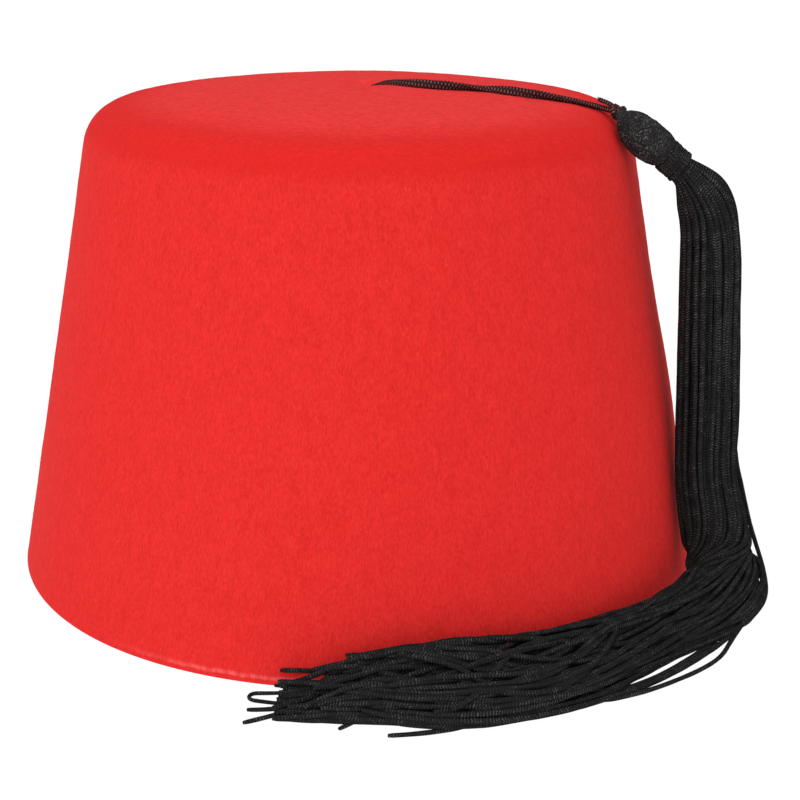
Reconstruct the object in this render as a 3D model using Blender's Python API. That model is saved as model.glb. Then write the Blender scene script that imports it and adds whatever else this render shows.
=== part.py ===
"""A fez: a blocked felt cap with a cord and a long tassel that lies round its front. Metres, +Z up.

The origin is the middle of the lower edge, on the surface that the hat stands on. The front is -Y.
"""

import math

import bmesh
import bpy
from mathutils import Matrix, Vector

# Felt cap
BASE_DIAMETER = 0.188
TOP_DIAMETER = 0.1414
WALL_HEIGHT = 0.1239
CROWN_EDGE_RADIUS = 0.01125
CROWN_RISE = 0.0045
DIMPLE_DEPTH = 0.001
DIMPLE_DIAMETER = 0.018
FELT_THICKNESS = 0.0022
CUT_EDGE_RADIUS = 0.0003

# Cord and knots
CORD_DIAMETER = 0.0027
CORD_HOLE_CLEARANCE = 0.0003
STOP_KNOT_DIAMETER = 0.0068
STOP_KNOT_HEIGHT = 0.0042
HEAD_KNOT_DIAMETER = 0.0044
PIECE_GAP = 0.0003

# Tassel
BULB_DIAMETER = 0.0101
NECK_DIAMETER = 0.0083
BAND_THICKNESS = 0.0006
BAND_WRAPS = 5
SKIRT_DIAMETER = 0.0165
HEAP_WIDTH = 0.0258
HEAP_HEIGHT = 0.0105
OUTER_LOCKS = 8
INNER_LOCKS = 4
LOCK_GAP = 0.00025

# Fineness
CAP_SEGMENTS = 64
OUTER_EDGE_STEPS = 6
INNER_EDGE_STEPS = 4
CORD_BEVEL_RESOLUTION = 2
CORD_STATIONS = 30
HEAD_SIDES = 16
KNOT_SIDES = 12
KNOT_ROWS = 6
LOCK_SIDES = 8
LOCK_ROWS_PER_SECTION = 1.35
SHARP_ANGLE = 40

# Where the crown's profile has its points, as shares of the dimple's radius and of the way on to the edge.
DIMPLE_SHARES = (0.0, 0.35, 0.7, 1.0)
DOME_SHARES = (0.33, 0.66)

# The share of the cord's way that the cut through the crown follows, and its sections.
HOLE_WAY = 0.42
HOLE_STATIONS = 18

# The cord's route, by hand, from under the crown to the tassel's top knot. Heights are over WALL_HEIGHT.
CORD_ROUTE = (
    (-0.0062, 0.0014, -0.0008),
    (-0.0026, 0.0003, 0.0011),
    (0.0009, -0.0012, 0.0028),
    (0.0042, -0.0027, 0.0044),
    (0.0076, -0.0039, 0.0056),
    (0.0114, -0.0046, 0.0061),
    (0.0160, -0.0053, 0.00605),
    (0.0215, -0.0061, 0.0057),
    (0.0275, -0.0070, 0.0053),
    (0.0335, -0.0082, 0.0049),
    (0.0395, -0.0095, 0.0043),
    (0.0460, -0.0109, 0.0036),
    (0.0525, -0.0124, 0.00285),
    (0.0586, -0.0150, 0.0021),
    (0.0632, -0.0186, 0.00135),
)

# The tassel's head, round the crown's edge: azimuth in degrees, lean of the edge's normal from upright in
# degrees, and how far the middle stands off the felt as a share of BULB_DIAMETER.
HEAD_ROWS = (
    {"azimuth": -18.6, "lean": 33.0, "stand": 0.27},
    {"azimuth": -21.6, "lean": 44.5, "stand": 0.34},
    {"azimuth": -23.4, "lean": 54.0, "stand": 0.45},
    {"azimuth": -23.5, "lean": 65.2, "stand": 0.54},
    {"azimuth": -22.2, "lean": 75.0, "stand": 0.70},
    {"azimuth": -21.2, "lean": 83.0, "stand": 0.92},
    {"azimuth": -20.4, "lean": 89.1, "stand": 1.16},
    {"azimuth": -19.8, "lean": 95.5, "stand": 1.49},
)

# The hanging strands: azimuth, height as a share of WALL_HEIGHT, how far the middle stands off the wall as a
# share of SKIRT_DIAMETER, and the bundle's two thicknesses as shares of SKIRT_DIAMETER.
HANGING_ROWS = (
    {"azimuth": -19.1, "height": 0.862, "stand": 1.04, "along": 0.68, "outward": 0.68},
    {"azimuth": -18.3, "height": 0.826, "stand": 1.12, "along": 0.82, "outward": 0.82},
    {"azimuth": -17.8, "height": 0.770, "stand": 1.09, "along": 0.93, "outward": 0.93},
    {"azimuth": -17.5, "height": 0.690, "stand": 1.02, "along": 0.97, "outward": 0.97},
    {"azimuth": -17.4, "height": 0.533, "stand": 0.85, "along": 0.99, "outward": 0.99},
    {"azimuth": -18.2, "height": 0.354, "stand": 0.67, "along": 1.00, "outward": 1.00},
    {"azimuth": -19.4, "height": 0.235, "stand": 0.60, "along": 0.98, "outward": 1.04},
)

# The strands on the surface: azimuth, height of the middle and the heap's height as shares of HEAP_HEIGHT,
# how far the middle stands off the foot of the wall and the heap's width as shares of HEAP_WIDTH, and how
# much higher the heap is at the wall than in its middle, as a share of its height.
LYING_ROWS = (
    {"azimuth": -20.8, "height": 1.55, "tall": 1.36, "stand": 0.40, "wide": 0.72, "wedge": 0.00},
    {"azimuth": -22.6, "height": 0.92, "tall": 1.10, "stand": 0.49, "wide": 0.82, "wedge": 0.04},
    {"azimuth": -25.8, "height": 0.56, "tall": 0.92, "stand": 0.53, "wide": 0.88, "wedge": 0.10},
    {"azimuth": -30.4, "height": 0.44, "tall": 0.84, "stand": 0.52, "wide": 0.90, "wedge": 0.18},
    {"azimuth": -37.0, "height": 0.420, "tall": 0.82, "stand": 0.49, "wide": 0.90, "wedge": 0.26},
    {"azimuth": -46.0, "height": 0.435, "tall": 0.86, "stand": 0.47, "wide": 0.90, "wedge": 0.34},
    {"azimuth": -55.0, "height": 0.460, "tall": 0.91, "stand": 0.465, "wide": 0.91, "wedge": 0.40},
    {"azimuth": -64.0, "height": 0.480, "tall": 0.95, "stand": 0.47, "wide": 0.92, "wedge": 0.42},
    {"azimuth": -73.0, "height": 0.485, "tall": 0.96, "stand": 0.48, "wide": 0.94, "wedge": 0.42},
    {"azimuth": -82.0, "height": 0.475, "tall": 0.94, "stand": 0.46, "wide": 0.91, "wedge": 0.40},
    {"azimuth": -90.0, "height": 0.410, "tall": 0.81, "stand": 0.42, "wide": 0.82, "wedge": 0.36},
    {"azimuth": -97.0, "height": 0.325, "tall": 0.64, "stand": 0.41, "wide": 0.77, "wedge": 0.28},
    {"azimuth": -105.0, "height": 0.250, "tall": 0.49, "stand": 0.41, "wide": 0.75, "wedge": 0.20},
)

# The head's thickness from under the top knot to the notch above the band, as shares of BULB_DIAMETER, by
# the share of the way along HEAD_ROWS.
BULB_ROWS = (
    {"way": 0.13, "thick": 0.34},
    {"way": 0.18, "thick": 0.52},
    {"way": 0.25, "thick": 0.72},
    {"way": 0.34, "thick": 0.90},
    {"way": 0.44, "thick": 1.00},
    {"way": 0.54, "thick": 0.98},
    {"way": 0.62, "thick": 0.90},
)

# The same way's shares where the bulb ends, and where the neck and the band round it begin and end.
BULB_END = 0.68
NECK_START = 0.692
NECK_MIDDLE = 0.85
BAND_START = 0.71
BAND_END = 0.965

# Where the locks begin inside the neck, and their bundle's thickness there as a share of the neck's.
LOCK_ROOTS = (
    {"way": 0.90, "thick": 0.86},
    {"way": 1.00, "thick": 0.98},
)

# The locks' shares of the bundle's round section: the middle and half the depth of a lock, in its radius.
OUTER_LOCK = {"middle": 0.76, "half_depth": 0.22}
INNER_LOCK = {"middle": 0.27, "half_depth": 0.21}
LOCK_SQUARENESS = 0.7

# How many sections before its end a lock starts to stray, and the rows that round its tip off, as sections
# before the end and shares of its full thickness.
STRAY_SECTIONS = 3.0
TIP_ROWS = (
    {"before": 0.32, "thick": 1.00},
    {"before": 0.12, "thick": 0.86},
    {"before": 0.00, "thick": 0.42},
)

# Where each lock ends, by the share of the lying rows' way, and how far its tip strays outward and up as
# shares of HEAP_WIDTH and HEAP_HEIGHT. Outer locks come first, from the outward one round, then inner ones.
LOCK_ENDS = (
    {"end": 0.90, "out": 0.06, "up": 0.00},
    {"end": 0.97, "out": 0.02, "up": 0.00},
    {"end": 0.93, "out": -0.02, "up": 0.00},
    {"end": 1.00, "out": 0.00, "up": 0.00},
    {"end": 0.88, "out": 0.00, "up": 0.04},
    {"end": 0.95, "out": 0.00, "up": 0.06},
    {"end": 0.86, "out": 0.00, "up": 0.08},
    {"end": 0.98, "out": 0.04, "up": 0.00},
    {"end": 0.96, "out": 0.00, "up": 0.00},
    {"end": 0.92, "out": 0.00, "up": 0.00},
    {"end": 0.99, "out": 0.00, "up": 0.00},
    {"end": 0.94, "out": 0.00, "up": 0.00},
)


def clear_scene():
    for old in list(bpy.data.objects):
        bpy.data.objects.remove(old, do_unlink=True)


def material(name, colour, roughness):
    made = bpy.data.materials.new(name)
    made.use_nodes = True
    shader = made.node_tree.nodes["Principled BSDF"]
    shader.inputs["Base Color"].default_value = (*colour, 1.0)
    shader.inputs["Roughness"].default_value = roughness
    shader.inputs["Metallic"].default_value = 0.0
    return made


def add_object(name, mesh, finish):
    made = bpy.data.objects.new(name, mesh)
    bpy.context.scene.collection.objects.link(made)
    if finish is not None:
        mesh.materials.append(finish)
    return made


def mesh_from(name, shape):
    """A bmesh as a mesh with its faces pointing out, shaded smooth."""
    bmesh.ops.recalc_face_normals(shape, faces=shape.faces)
    mesh = bpy.data.meshes.new(name)
    shape.to_mesh(mesh)
    shape.free()
    mesh.shade_smooth()
    mesh.set_sharp_from_angle(angle=math.radians(SHARP_ANGLE))
    return mesh


def smooth_curve(points, t):
    """The point at t, from 0 to 1, of a Catmull-Rom curve through points of any size."""
    last = len(points) - 1
    at = min(max(t, 0.0), 1.0) * last
    k = min(int(at), last - 1)
    u = at - k
    b, c = points[k], points[k + 1]
    a = points[k - 1] if k > 0 else b * 2 - c
    d = points[k + 2] if k + 2 <= last else c * 2 - b
    return (b * 2 + (c - a) * u + (a * 2 - b * 5 + c * 4 - d) * u**2 + (b * 3 - a - c * 3 + d) * u**3) * 0.5


def add_ring(shape, points):
    return [shape.verts.new(p) for p in points]


def bridge(shape, lower, upper):
    for k in range(len(lower)):
        j = (k + 1) % len(lower)
        shape.faces.new((lower[k], lower[j], upper[j], upper[k]))


def close_end(shape, ring):
    """A shallow fan over a ring."""
    middle = sum((v.co for v in ring), Vector()) / len(ring)
    hub = shape.verts.new(middle)
    for k in range(len(ring)):
        shape.faces.new((ring[k], ring[(k + 1) % len(ring)], hub))


def add_tube(shape, rings):
    """One closed body through rings of points."""
    made = [add_ring(shape, ring) for ring in rings]
    for lower, upper in zip(made, made[1:]):
        bridge(shape, lower, upper)
    close_end(shape, made[0])
    close_end(shape, made[-1])


# Felt cap


def wall_lean():
    return math.atan2((BASE_DIAMETER - TOP_DIAMETER) / 2, WALL_HEIGHT)


def wall_radius(z):
    return BASE_DIAMETER / 2 - z * math.tan(wall_lean())


def edge_centre():
    """Radius and height of the middle of the crown edge's round."""
    z = WALL_HEIGHT - CROWN_EDGE_RADIUS
    return wall_radius(z) - CROWN_EDGE_RADIUS / math.cos(wall_lean()), z


def edge_point(lean, stand):
    """Radius and height of a point that stands off the crown's edge, where its normal leans by lean."""
    radius, z = edge_centre()
    reach = CROWN_EDGE_RADIUS + stand
    return radius + reach * math.sin(lean), z + reach * math.cos(lean)


def crown_lean():
    """How far the crown's normal leans where the dome runs into the round edge."""
    return math.atan2(2 * CROWN_RISE, edge_centre()[0])


def crown_height(radius):
    foot_radius, foot_height = edge_point(crown_lean(), 0.0)
    rise = WALL_HEIGHT + CROWN_RISE - foot_height
    height = foot_height + rise * (1 - (radius / foot_radius) ** 2)
    hollow = max(0.0, 1 - (2 * radius / DIMPLE_DIAMETER) ** 2)
    return height - DIMPLE_DEPTH * hollow**2


def crown_profile(inset):
    """Points of the crown from the middle out to the edge, moved inward by inset."""
    foot = edge_point(crown_lean(), 0.0)[0]
    dimple = DIMPLE_DIAMETER / 2
    radii = [share * dimple for share in DIMPLE_SHARES]
    radii += [dimple + share * (foot - dimple) for share in DOME_SHARES]
    return [(radius, crown_height(radius) - inset) for radius in radii]


def edge_profile(inset, steps):
    """Points round the crown's edge from the dome to the wall."""
    first, last = crown_lean(), math.pi / 2 - wall_lean()
    return [edge_point(first + (last - first) * k / steps, -inset) for k in range(steps + 1)]


def cut_edge(side, radius):
    """The rounded corner of the cut edge, on its outer side (1) or its inner side (-1)."""
    turns = (0.0, 45.0, 90.0)
    middle = radius - side * CUT_EDGE_RADIUS
    corner = [
        (
            middle + side * CUT_EDGE_RADIUS * math.cos(math.radians(turn)),
            CUT_EDGE_RADIUS - CUT_EDGE_RADIUS * math.sin(math.radians(turn)),
        )
        for turn in turns
    ]
    return corner if side > 0 else corner[::-1]


def felt_profile():
    outer_foot = wall_radius(0.0)
    inner_foot = outer_foot - FELT_THICKNESS / math.cos(wall_lean())
    outside = crown_profile(0.0) + edge_profile(0.0, OUTER_EDGE_STEPS)
    inside = crown_profile(FELT_THICKNESS) + edge_profile(FELT_THICKNESS, INNER_EDGE_STEPS)
    return outside + cut_edge(1, outer_foot) + cut_edge(-1, inner_foot) + inside[::-1]


def turned(name, profile, segments):
    """A body turned round Z from a profile whose two ends lie on the axis."""
    shape = bmesh.new()
    first = shape.verts.new((0.0, 0.0, profile[0][1]))
    last = shape.verts.new((0.0, 0.0, profile[-1][1]))
    turns = [2 * math.pi * (k + 0.5) / segments for k in range(segments)]
    rings = [
        add_ring(shape, [(radius * math.cos(a), radius * math.sin(a), z) for a in turns])
        for radius, z in profile[1:-1]
    ]
    for lower, upper in zip(rings, rings[1:]):
        bridge(shape, lower, upper)
    for hub, ring in ((first, rings[0]), (last, rings[-1])):
        for k in range(segments):
            shape.faces.new((ring[k], ring[(k + 1) % segments], hub))
    return mesh_from(name, shape)


def make_felt_cap():
    finish = material("red_felt", (0.72, 0.03, 0.035), 0.95)
    cap = add_object("felt_cap", turned("felt_cap", felt_profile(), CAP_SEGMENTS), finish)
    cutter = make_cord_cutter()
    cut = cap.modifiers.new("cord_hole", "BOOLEAN")
    cut.operation = "DIFFERENCE"
    cut.solver = "EXACT"
    cut.object = cutter
    return cap


# Cord


def cord_point(way):
    route = [Vector((x, y, WALL_HEIGHT + height)) for x, y, height in CORD_ROUTE]
    return smooth_curve(route, way)


def cord_points():
    return [cord_point(k / (CORD_STATIONS - 1)) for k in range(CORD_STATIONS)]


def frames_along(points):
    """A side and an up direction at each point, carried along without twist."""
    tangents = []
    for k in range(len(points)):
        ahead, behind = points[min(k + 1, len(points) - 1)], points[max(k - 1, 0)]
        tangents.append((ahead - behind).normalized())
    side = tangents[0].orthogonal().normalized()
    frames = []
    for tangent in tangents:
        side = (side - tangent * side.dot(tangent)).normalized()
        frames.append((side, tangent.cross(side)))
    return frames


def round_rings(points, diameters, sides):
    rings = []
    for point, diameter, (side, up) in zip(points, diameters, frames_along(points)):
        turns = [2 * math.pi * k / sides for k in range(sides)]
        rings.append([point + (side * math.cos(a) + up * math.sin(a)) * diameter / 2 for a in turns])
    return rings


def make_cord_cutter():
    """The cord's own way through the crown, wider by its clearance."""
    points = [cord_point(HOLE_WAY * k / (HOLE_STATIONS - 1)) for k in range(HOLE_STATIONS)]
    shape = bmesh.new()
    diameter = CORD_DIAMETER + 2 * CORD_HOLE_CLEARANCE
    add_tube(shape, round_rings(points, [diameter] * len(points), HEAD_SIDES))
    cutter = add_object("cord_hole_cutter", mesh_from("cord_hole_cutter", shape), None)
    cutter.hide_render = True
    cutter.display_type = "WIRE"
    return cutter


def make_hanger_cord():
    points = cord_points()
    curve = bpy.data.curves.new("hanger_cord", "CURVE")
    curve.dimensions = "3D"
    curve.bevel_depth = CORD_DIAMETER / 2
    curve.bevel_resolution = CORD_BEVEL_RESOLUTION
    curve.use_fill_caps = True
    spline = curve.splines.new("POLY")
    spline.points.add(len(points) - 1)
    for slot, point in zip(spline.points, points):
        slot.co = (*point, 1.0)
    return add_object("hanger_cord", curve, material("black_cord", (0.022, 0.021, 0.021), 0.7))


def knot(name, place, along, length, diameter, finish):
    """A rounded knot of this length along a direction."""
    shape = bmesh.new()
    frame = along.to_track_quat("Z", "Y").to_matrix().to_4x4()
    to_place = Matrix.Translation(place) @ frame
    rings = []
    for k in range(KNOT_ROWS):
        tilt = math.pi * (k + 1) / (KNOT_ROWS + 1)
        radius = diameter / 2 * math.sin(tilt)
        z = -length / 2 * math.cos(tilt)
        turns = [2 * math.pi * j / KNOT_SIDES for j in range(KNOT_SIDES)]
        rings.append([to_place @ Vector((radius * math.cos(a), radius * math.sin(a), z)) for a in turns])
    add_tube(shape, rings)
    return add_object(name, mesh_from(name, shape), finish)


def make_stop_knot():
    """Under the crown, just behind the cord's inner end."""
    points = cord_points()
    away = points[0] - points[1]
    away.z = 0.0
    place = points[0] + away.normalized() * (STOP_KNOT_DIAMETER / 2 + PIECE_GAP)
    inner = crown_height(math.hypot(place.x, place.y)) - FELT_THICKNESS
    place.z = inner - PIECE_GAP - STOP_KNOT_HEIGHT / 2 - DIMPLE_DEPTH / 2
    finish = material("stop_knot_thread", (0.022, 0.021, 0.021), 0.75)
    return knot("stop_knot", place, Vector((0, 0, 1)), STOP_KNOT_HEIGHT, STOP_KNOT_DIAMETER, finish)


# Tassel


def around(azimuth, radius, z):
    turn = math.radians(azimuth)
    return Vector((radius * math.cos(turn), radius * math.sin(turn), z))


def head_path():
    made = []
    for row in HEAD_ROWS:
        radius, z = edge_point(math.radians(row["lean"]), row["stand"] * BULB_DIAMETER)
        made.append(around(row["azimuth"], radius, z))
    return made


def head_point(way):
    return smooth_curve(head_path(), way)


def make_head_knot():
    place = head_point(0.0)
    along = head_point(BULB_ROWS[0]["way"]) - place
    finish = material("head_knot_thread", (0.024, 0.022, 0.022), 0.75)
    return knot("head_knot", place, along, HEAD_KNOT_DIAMETER, HEAD_KNOT_DIAMETER, finish)


def neck_inside():
    """The neck's thickness inside the band."""
    return NECK_DIAMETER - 2 * BAND_THICKNESS - 2 * PIECE_GAP


def core_mesh():
    """The bulb and the neck inside the band, up to where the locks leave it."""
    rows = [(row["way"], row["thick"] * BULB_DIAMETER) for row in BULB_ROWS]
    rows.append((BULB_END, NECK_DIAMETER))
    rows += [(way, neck_inside()) for way in (NECK_START, NECK_MIDDLE, 1.0)]
    points = [head_point(way) for way, _ in rows]
    shape = bmesh.new()
    add_tube(shape, round_rings(points, [thick for _, thick in rows], HEAD_SIDES))
    return mesh_from("tassel", shape)


def make_neck_band():
    """A sleeve of wound thread round the neck, ridged by its wraps."""
    rows = 2 * BAND_WRAPS
    inner = NECK_DIAMETER - 2 * BAND_THICKNESS
    ways = [BAND_START + (BAND_END - BAND_START) * k / rows for k in range(rows + 1)]
    points = [head_point(way) for way in ways]
    outer = []
    for k in range(rows + 1):
        swell = abs(math.sin(math.pi * BAND_WRAPS * k / rows))
        outer.append(NECK_DIAMETER - BAND_THICKNESS * (1 - swell))
    shape = bmesh.new()
    outside = [add_ring(shape, ring) for ring in round_rings(points, outer, HEAD_SIDES)]
    inside = [add_ring(shape, ring) for ring in round_rings(points, [inner] * len(points), HEAD_SIDES)]
    for rings in (outside, inside):
        for lower, upper in zip(rings, rings[1:]):
            bridge(shape, lower, upper)
    bridge(shape, outside[0], inside[0])
    bridge(shape, outside[-1], inside[-1])
    finish = material("band_thread", (0.026, 0.024, 0.024), 0.65)
    return add_object("neck_band", mesh_from("neck_band", shape), finish)


def skirt_sections():
    """Each section of the strands: its middle, half its thickness each way, and its wedge."""
    made = []
    for row in LOCK_ROOTS:
        half = row["thick"] * neck_inside() / 2
        made.append((head_point(row["way"]), half, half, 0.0))
    for row in HANGING_ROWS:
        z = row["height"] * WALL_HEIGHT
        radius = wall_radius(z) + row["stand"] * SKIRT_DIAMETER
        half = SKIRT_DIAMETER / 2
        made.append((around(row["azimuth"], radius, z), row["along"] * half, row["outward"] * half, 0.0))
    for row in LYING_ROWS:
        radius = wall_radius(0.0) + row["stand"] * HEAP_WIDTH
        point = around(row["azimuth"], radius, row["height"] * HEAP_HEIGHT)
        made.append((point, row["tall"] * HEAP_HEIGHT / 2, row["wide"] * HEAP_WIDTH / 2, row["wedge"]))
    return made


def section_at(sections, t):
    """Middle, half thicknesses and two directions of the section at t, from 0 to the last one's number."""
    last = len(sections) - 1
    middles = [s[0] for s in sections]
    middle = smooth_curve(middles, t / last)
    ahead = smooth_curve(middles, (t + 0.05) / last) - smooth_curve(middles, (t - 0.05) / last)
    halves = smooth_curve([Vector((s[1], s[2], s[3])) for s in sections], t / last)
    outward = Vector((middle.x, middle.y, 0.0)).normalized()
    tangent = ahead.normalized()
    outward = (outward - tangent * outward.dot(tangent)).normalized()
    return middle, halves, outward.cross(tangent), outward


def lock_cells():
    """Each lock's cell of the round section: its middle radius, half depth, middle angle and half angle."""
    cells = []
    for count, turned_by, cell in ((OUTER_LOCKS, 0.0, OUTER_LOCK), (INNER_LOCKS, 0.5, INNER_LOCK)):
        for k in range(count):
            angle = 2 * math.pi * (k + turned_by) / count
            cells.append((cell["middle"], cell["half_depth"], angle, math.pi / count))
    return cells


def lock_outline(cell, shrink):
    """Points of a lock's rounded section in the unit disc, each side drawn in by shrink."""
    radius, half_depth, angle, half_angle = cell
    points = []
    for k in range(LOCK_SIDES):
        turn = 2 * math.pi * (k + 0.5) / LOCK_SIDES
        c, s = math.cos(turn), math.sin(turn)
        depth = math.copysign(abs(c) ** LOCK_SQUARENESS, c)
        width = math.copysign(abs(s) ** LOCK_SQUARENESS, s)
        r = radius + (half_depth - shrink) * depth
        a = angle + (half_angle - shrink / r) * width
        points.append((r * math.cos(a), r * math.sin(a)))
    return points


def lock_stations(end):
    """Where a lock's rows are along the sections, and each row's share of its full thickness."""
    last = end - TIP_ROWS[0]["before"]
    count = int(last * LOCK_ROWS_PER_SECTION)
    rows = [(last * k / count, 1.0) for k in range(count)]
    return rows + [(end - row["before"], row["thick"]) for row in TIP_ROWS]


def lock_rings(sections, cell, ending):
    lying = len(LYING_ROWS)
    end = len(sections) - lying + ending["end"] * (lying - 1)
    rings = []
    for t, thick in lock_stations(end):
        middle, halves, along, outward = section_at(sections, t)
        outline = lock_outline(cell, LOCK_GAP / min(halves.x, halves.y))
        stray = max(0.0, 1 - (end - t) / STRAY_SECTIONS) ** 2
        middle = middle + outward * (ending["out"] * HEAP_WIDTH * stray)
        middle.z += ending["up"] * HEAP_HEIGHT * stray
        u0 = sum(p[0] for p in outline) / LOCK_SIDES
        v0 = sum(p[1] for p in outline) / LOCK_SIDES
        ring = []
        for u, v in outline:
            u, v = u0 + (u - u0) * thick, v0 + (v - v0) * thick
            tall = halves.x * (1 - halves.z * u)
            lift = Vector((0, 0, tall - halves.x))
            ring.append(middle + lift + outward * (u * halves.y) + along * (v * tall))
        rings.append(ring)
    return rings


def make_tassel():
    finish = material("black_strands", (0.022, 0.021, 0.021), 0.7)
    tassel = add_object("tassel", core_mesh(), finish)
    sections = skirt_sections()
    shape = bmesh.new()
    for cell, ending in zip(lock_cells(), LOCK_ENDS):
        add_tube(shape, lock_rings(sections, cell, ending))
    locks = add_object("lock_join", mesh_from("lock_join", shape), None)
    locks.hide_render = True
    locks.display_type = "WIRE"
    fuse = tassel.modifiers.new("locks", "BOOLEAN")
    fuse.operation = "UNION"
    fuse.solver = "EXACT"
    fuse.object = locks
    return tassel


clear_scene()
make_felt_cap()
make_hanger_cord()
make_stop_knot()
make_head_knot()
make_neck_band()
make_tassel()
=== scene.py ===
"""The looks of a fez: its felt, its flat braided cord, the knitted head of its tassel and the loose strands.

Metres, +Z up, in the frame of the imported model. The front is -Y.
"""

import math

import bpy
import numpy as np
from mathutils import Matrix, Vector, noise


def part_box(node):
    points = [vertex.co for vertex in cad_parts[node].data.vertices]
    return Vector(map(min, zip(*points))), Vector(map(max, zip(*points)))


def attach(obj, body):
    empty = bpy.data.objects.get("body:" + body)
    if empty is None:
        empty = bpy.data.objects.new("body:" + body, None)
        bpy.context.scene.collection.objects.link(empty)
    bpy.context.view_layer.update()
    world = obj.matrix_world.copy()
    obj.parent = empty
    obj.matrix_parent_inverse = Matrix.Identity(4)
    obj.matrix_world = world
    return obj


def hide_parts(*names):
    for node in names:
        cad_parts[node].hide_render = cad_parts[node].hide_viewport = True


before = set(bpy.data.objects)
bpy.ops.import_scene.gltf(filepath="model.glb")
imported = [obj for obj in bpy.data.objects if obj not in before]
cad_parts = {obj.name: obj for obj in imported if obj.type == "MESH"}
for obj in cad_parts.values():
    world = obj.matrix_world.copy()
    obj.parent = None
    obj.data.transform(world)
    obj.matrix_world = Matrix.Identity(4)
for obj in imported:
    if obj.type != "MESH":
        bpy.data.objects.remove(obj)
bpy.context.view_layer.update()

MM = 0.001

# Camera: where it stands, how far it looks down, right and rolled in radians, and its lens in mm.
CAMERA_PLACE = (0.0, -0.4371, 0.1862)
CAMERA_DOWN = 0.3223
CAMERA_RIGHT = 0.0256
CAMERA_ROLL = 0.007
CAMERA_LENS = 73.69

# Felt cap, as the solid has it
BASE_DIAMETER = 0.188
TOP_DIAMETER = 0.1414
WALL_HEIGHT = 0.1239
CROWN_EDGE_RADIUS = 0.01125
CROWN_RISE = 0.0045
DIMPLE_DEPTH = 0.001
DIMPLE_DIAMETER = 0.018
FELT_THICKNESS = 0.0022

# Cord and knots, as the solids have them
STOP_KNOT_DIAMETER = 0.0068
STOP_KNOT_HEIGHT = 0.0042
HEAD_KNOT_DIAMETER = 0.0044

# Tassel, as the solids have it
BULB_DIAMETER = 0.0101
NECK_DIAMETER = 0.0083
BAND_THICKNESS = 0.0006
BAND_WRAPS = 5
SKIRT_DIAMETER = 0.0165
HEAP_WIDTH = 0.0258
HEAP_HEIGHT = 0.0105

# The cord, a flat braid: half its width and thickness, its middle line in mm with heights over WALL_HEIGHT,
# and how far it is turned about that line in degrees, by how far from the axis it is to +X in mm.
CORD_HALF_WIDE = 0.0012
CORD_HALF_THIN = 0.00068
CORD_LINE = (
    (-6.2, 1.4, -0.80),
    (-2.8, 2.4, 1.00),
    (0.4, 2.6, 1.60),
    (3.2, 2.7, 2.95),
    (6.0, 1.3, 4.25),
    (8.8, -1.3, 5.00),
    (11.7, -3.8, 5.22),
    (15.2, -5.8, 5.29),
    (18.8, -7.2, 5.26),
    (21.9, -7.6, 5.12),
    (25.0, -7.3, 4.84),
    (28.2, -6.5, 4.46),
    (31.4, -6.1, 4.15),
    (34.5, -6.4, 3.98),
    (37.6, -7.5, 3.88),
    (40.6, -8.7, 3.73),
    (43.6, -9.7, 3.43),
    (46.7, -10.1, 3.00),
    (49.9, -10.0, 2.48),
    (53.0, -10.1, 1.95),
    (56.0, -10.8, 1.50),
    (59.0, -12.8, 1.10),
    (61.7, -15.9, 0.74),
    (64.0, -19.5, 0.50),
    (65.3, -21.5, 0.40),
)
CORD_TURNS = (
    (2.5, 0.0),
    (8.5, 8.0),
    (10.5, 22.0),
    (18.8, 71.5),
    (29.3, 161.5),
    (40.6, 251.5),
    (50.0, 322.0),
    (56.0, 334.0),
    (65.3, 346.0),
)
SLIT_SLACK_WIDE = 0.00012
SLIT_SLACK_THIN = 0.00010
HOLE_POINTS = 6

# The knots' thread: how far apart its rows of stitches are, and its rings outside and inside the hat.
THREAD_ROW = 0.00074
THREAD_STEP = 0.00014
THREAD_STEP_INSIDE = 0.00016

# The tassel's head round the crown's edge: azimuth and lean in degrees, stand as a share of BULB_DIAMETER.
HEAD_ROWS = (
    (-18.6, 33.0, 0.27),
    (-21.4, 44.5, 0.34),
    (-23.2, 54.0, 0.45),
    (-23.3, 65.2, 0.55),
    (-22.0, 75.0, 0.72),
    (-21.1, 83.0, 0.94),
    (-20.4, 89.1, 1.16),
    (-19.8, 95.5, 1.49),
)

# The strands' bundle where it hangs: azimuth, height as a share of WALL_HEIGHT, and stand, thickness along
# the wall and thickness outward as shares of SKIRT_DIAMETER.
HANGING_ROWS = (
    (-19.1, 0.862, 1.06, 0.62, 0.60),
    (-18.3, 0.826, 1.125, 0.80, 0.77),
    (-17.8, 0.770, 1.095, 0.90, 0.90),
    (-17.5, 0.690, 1.015, 0.935, 0.94),
    (-17.4, 0.533, 0.84, 0.95, 0.94),
    (-18.8, 0.354, 0.68, 1.00, 0.98),
    (-20.2, 0.235, 0.585, 1.02, 0.99),
)

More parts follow.
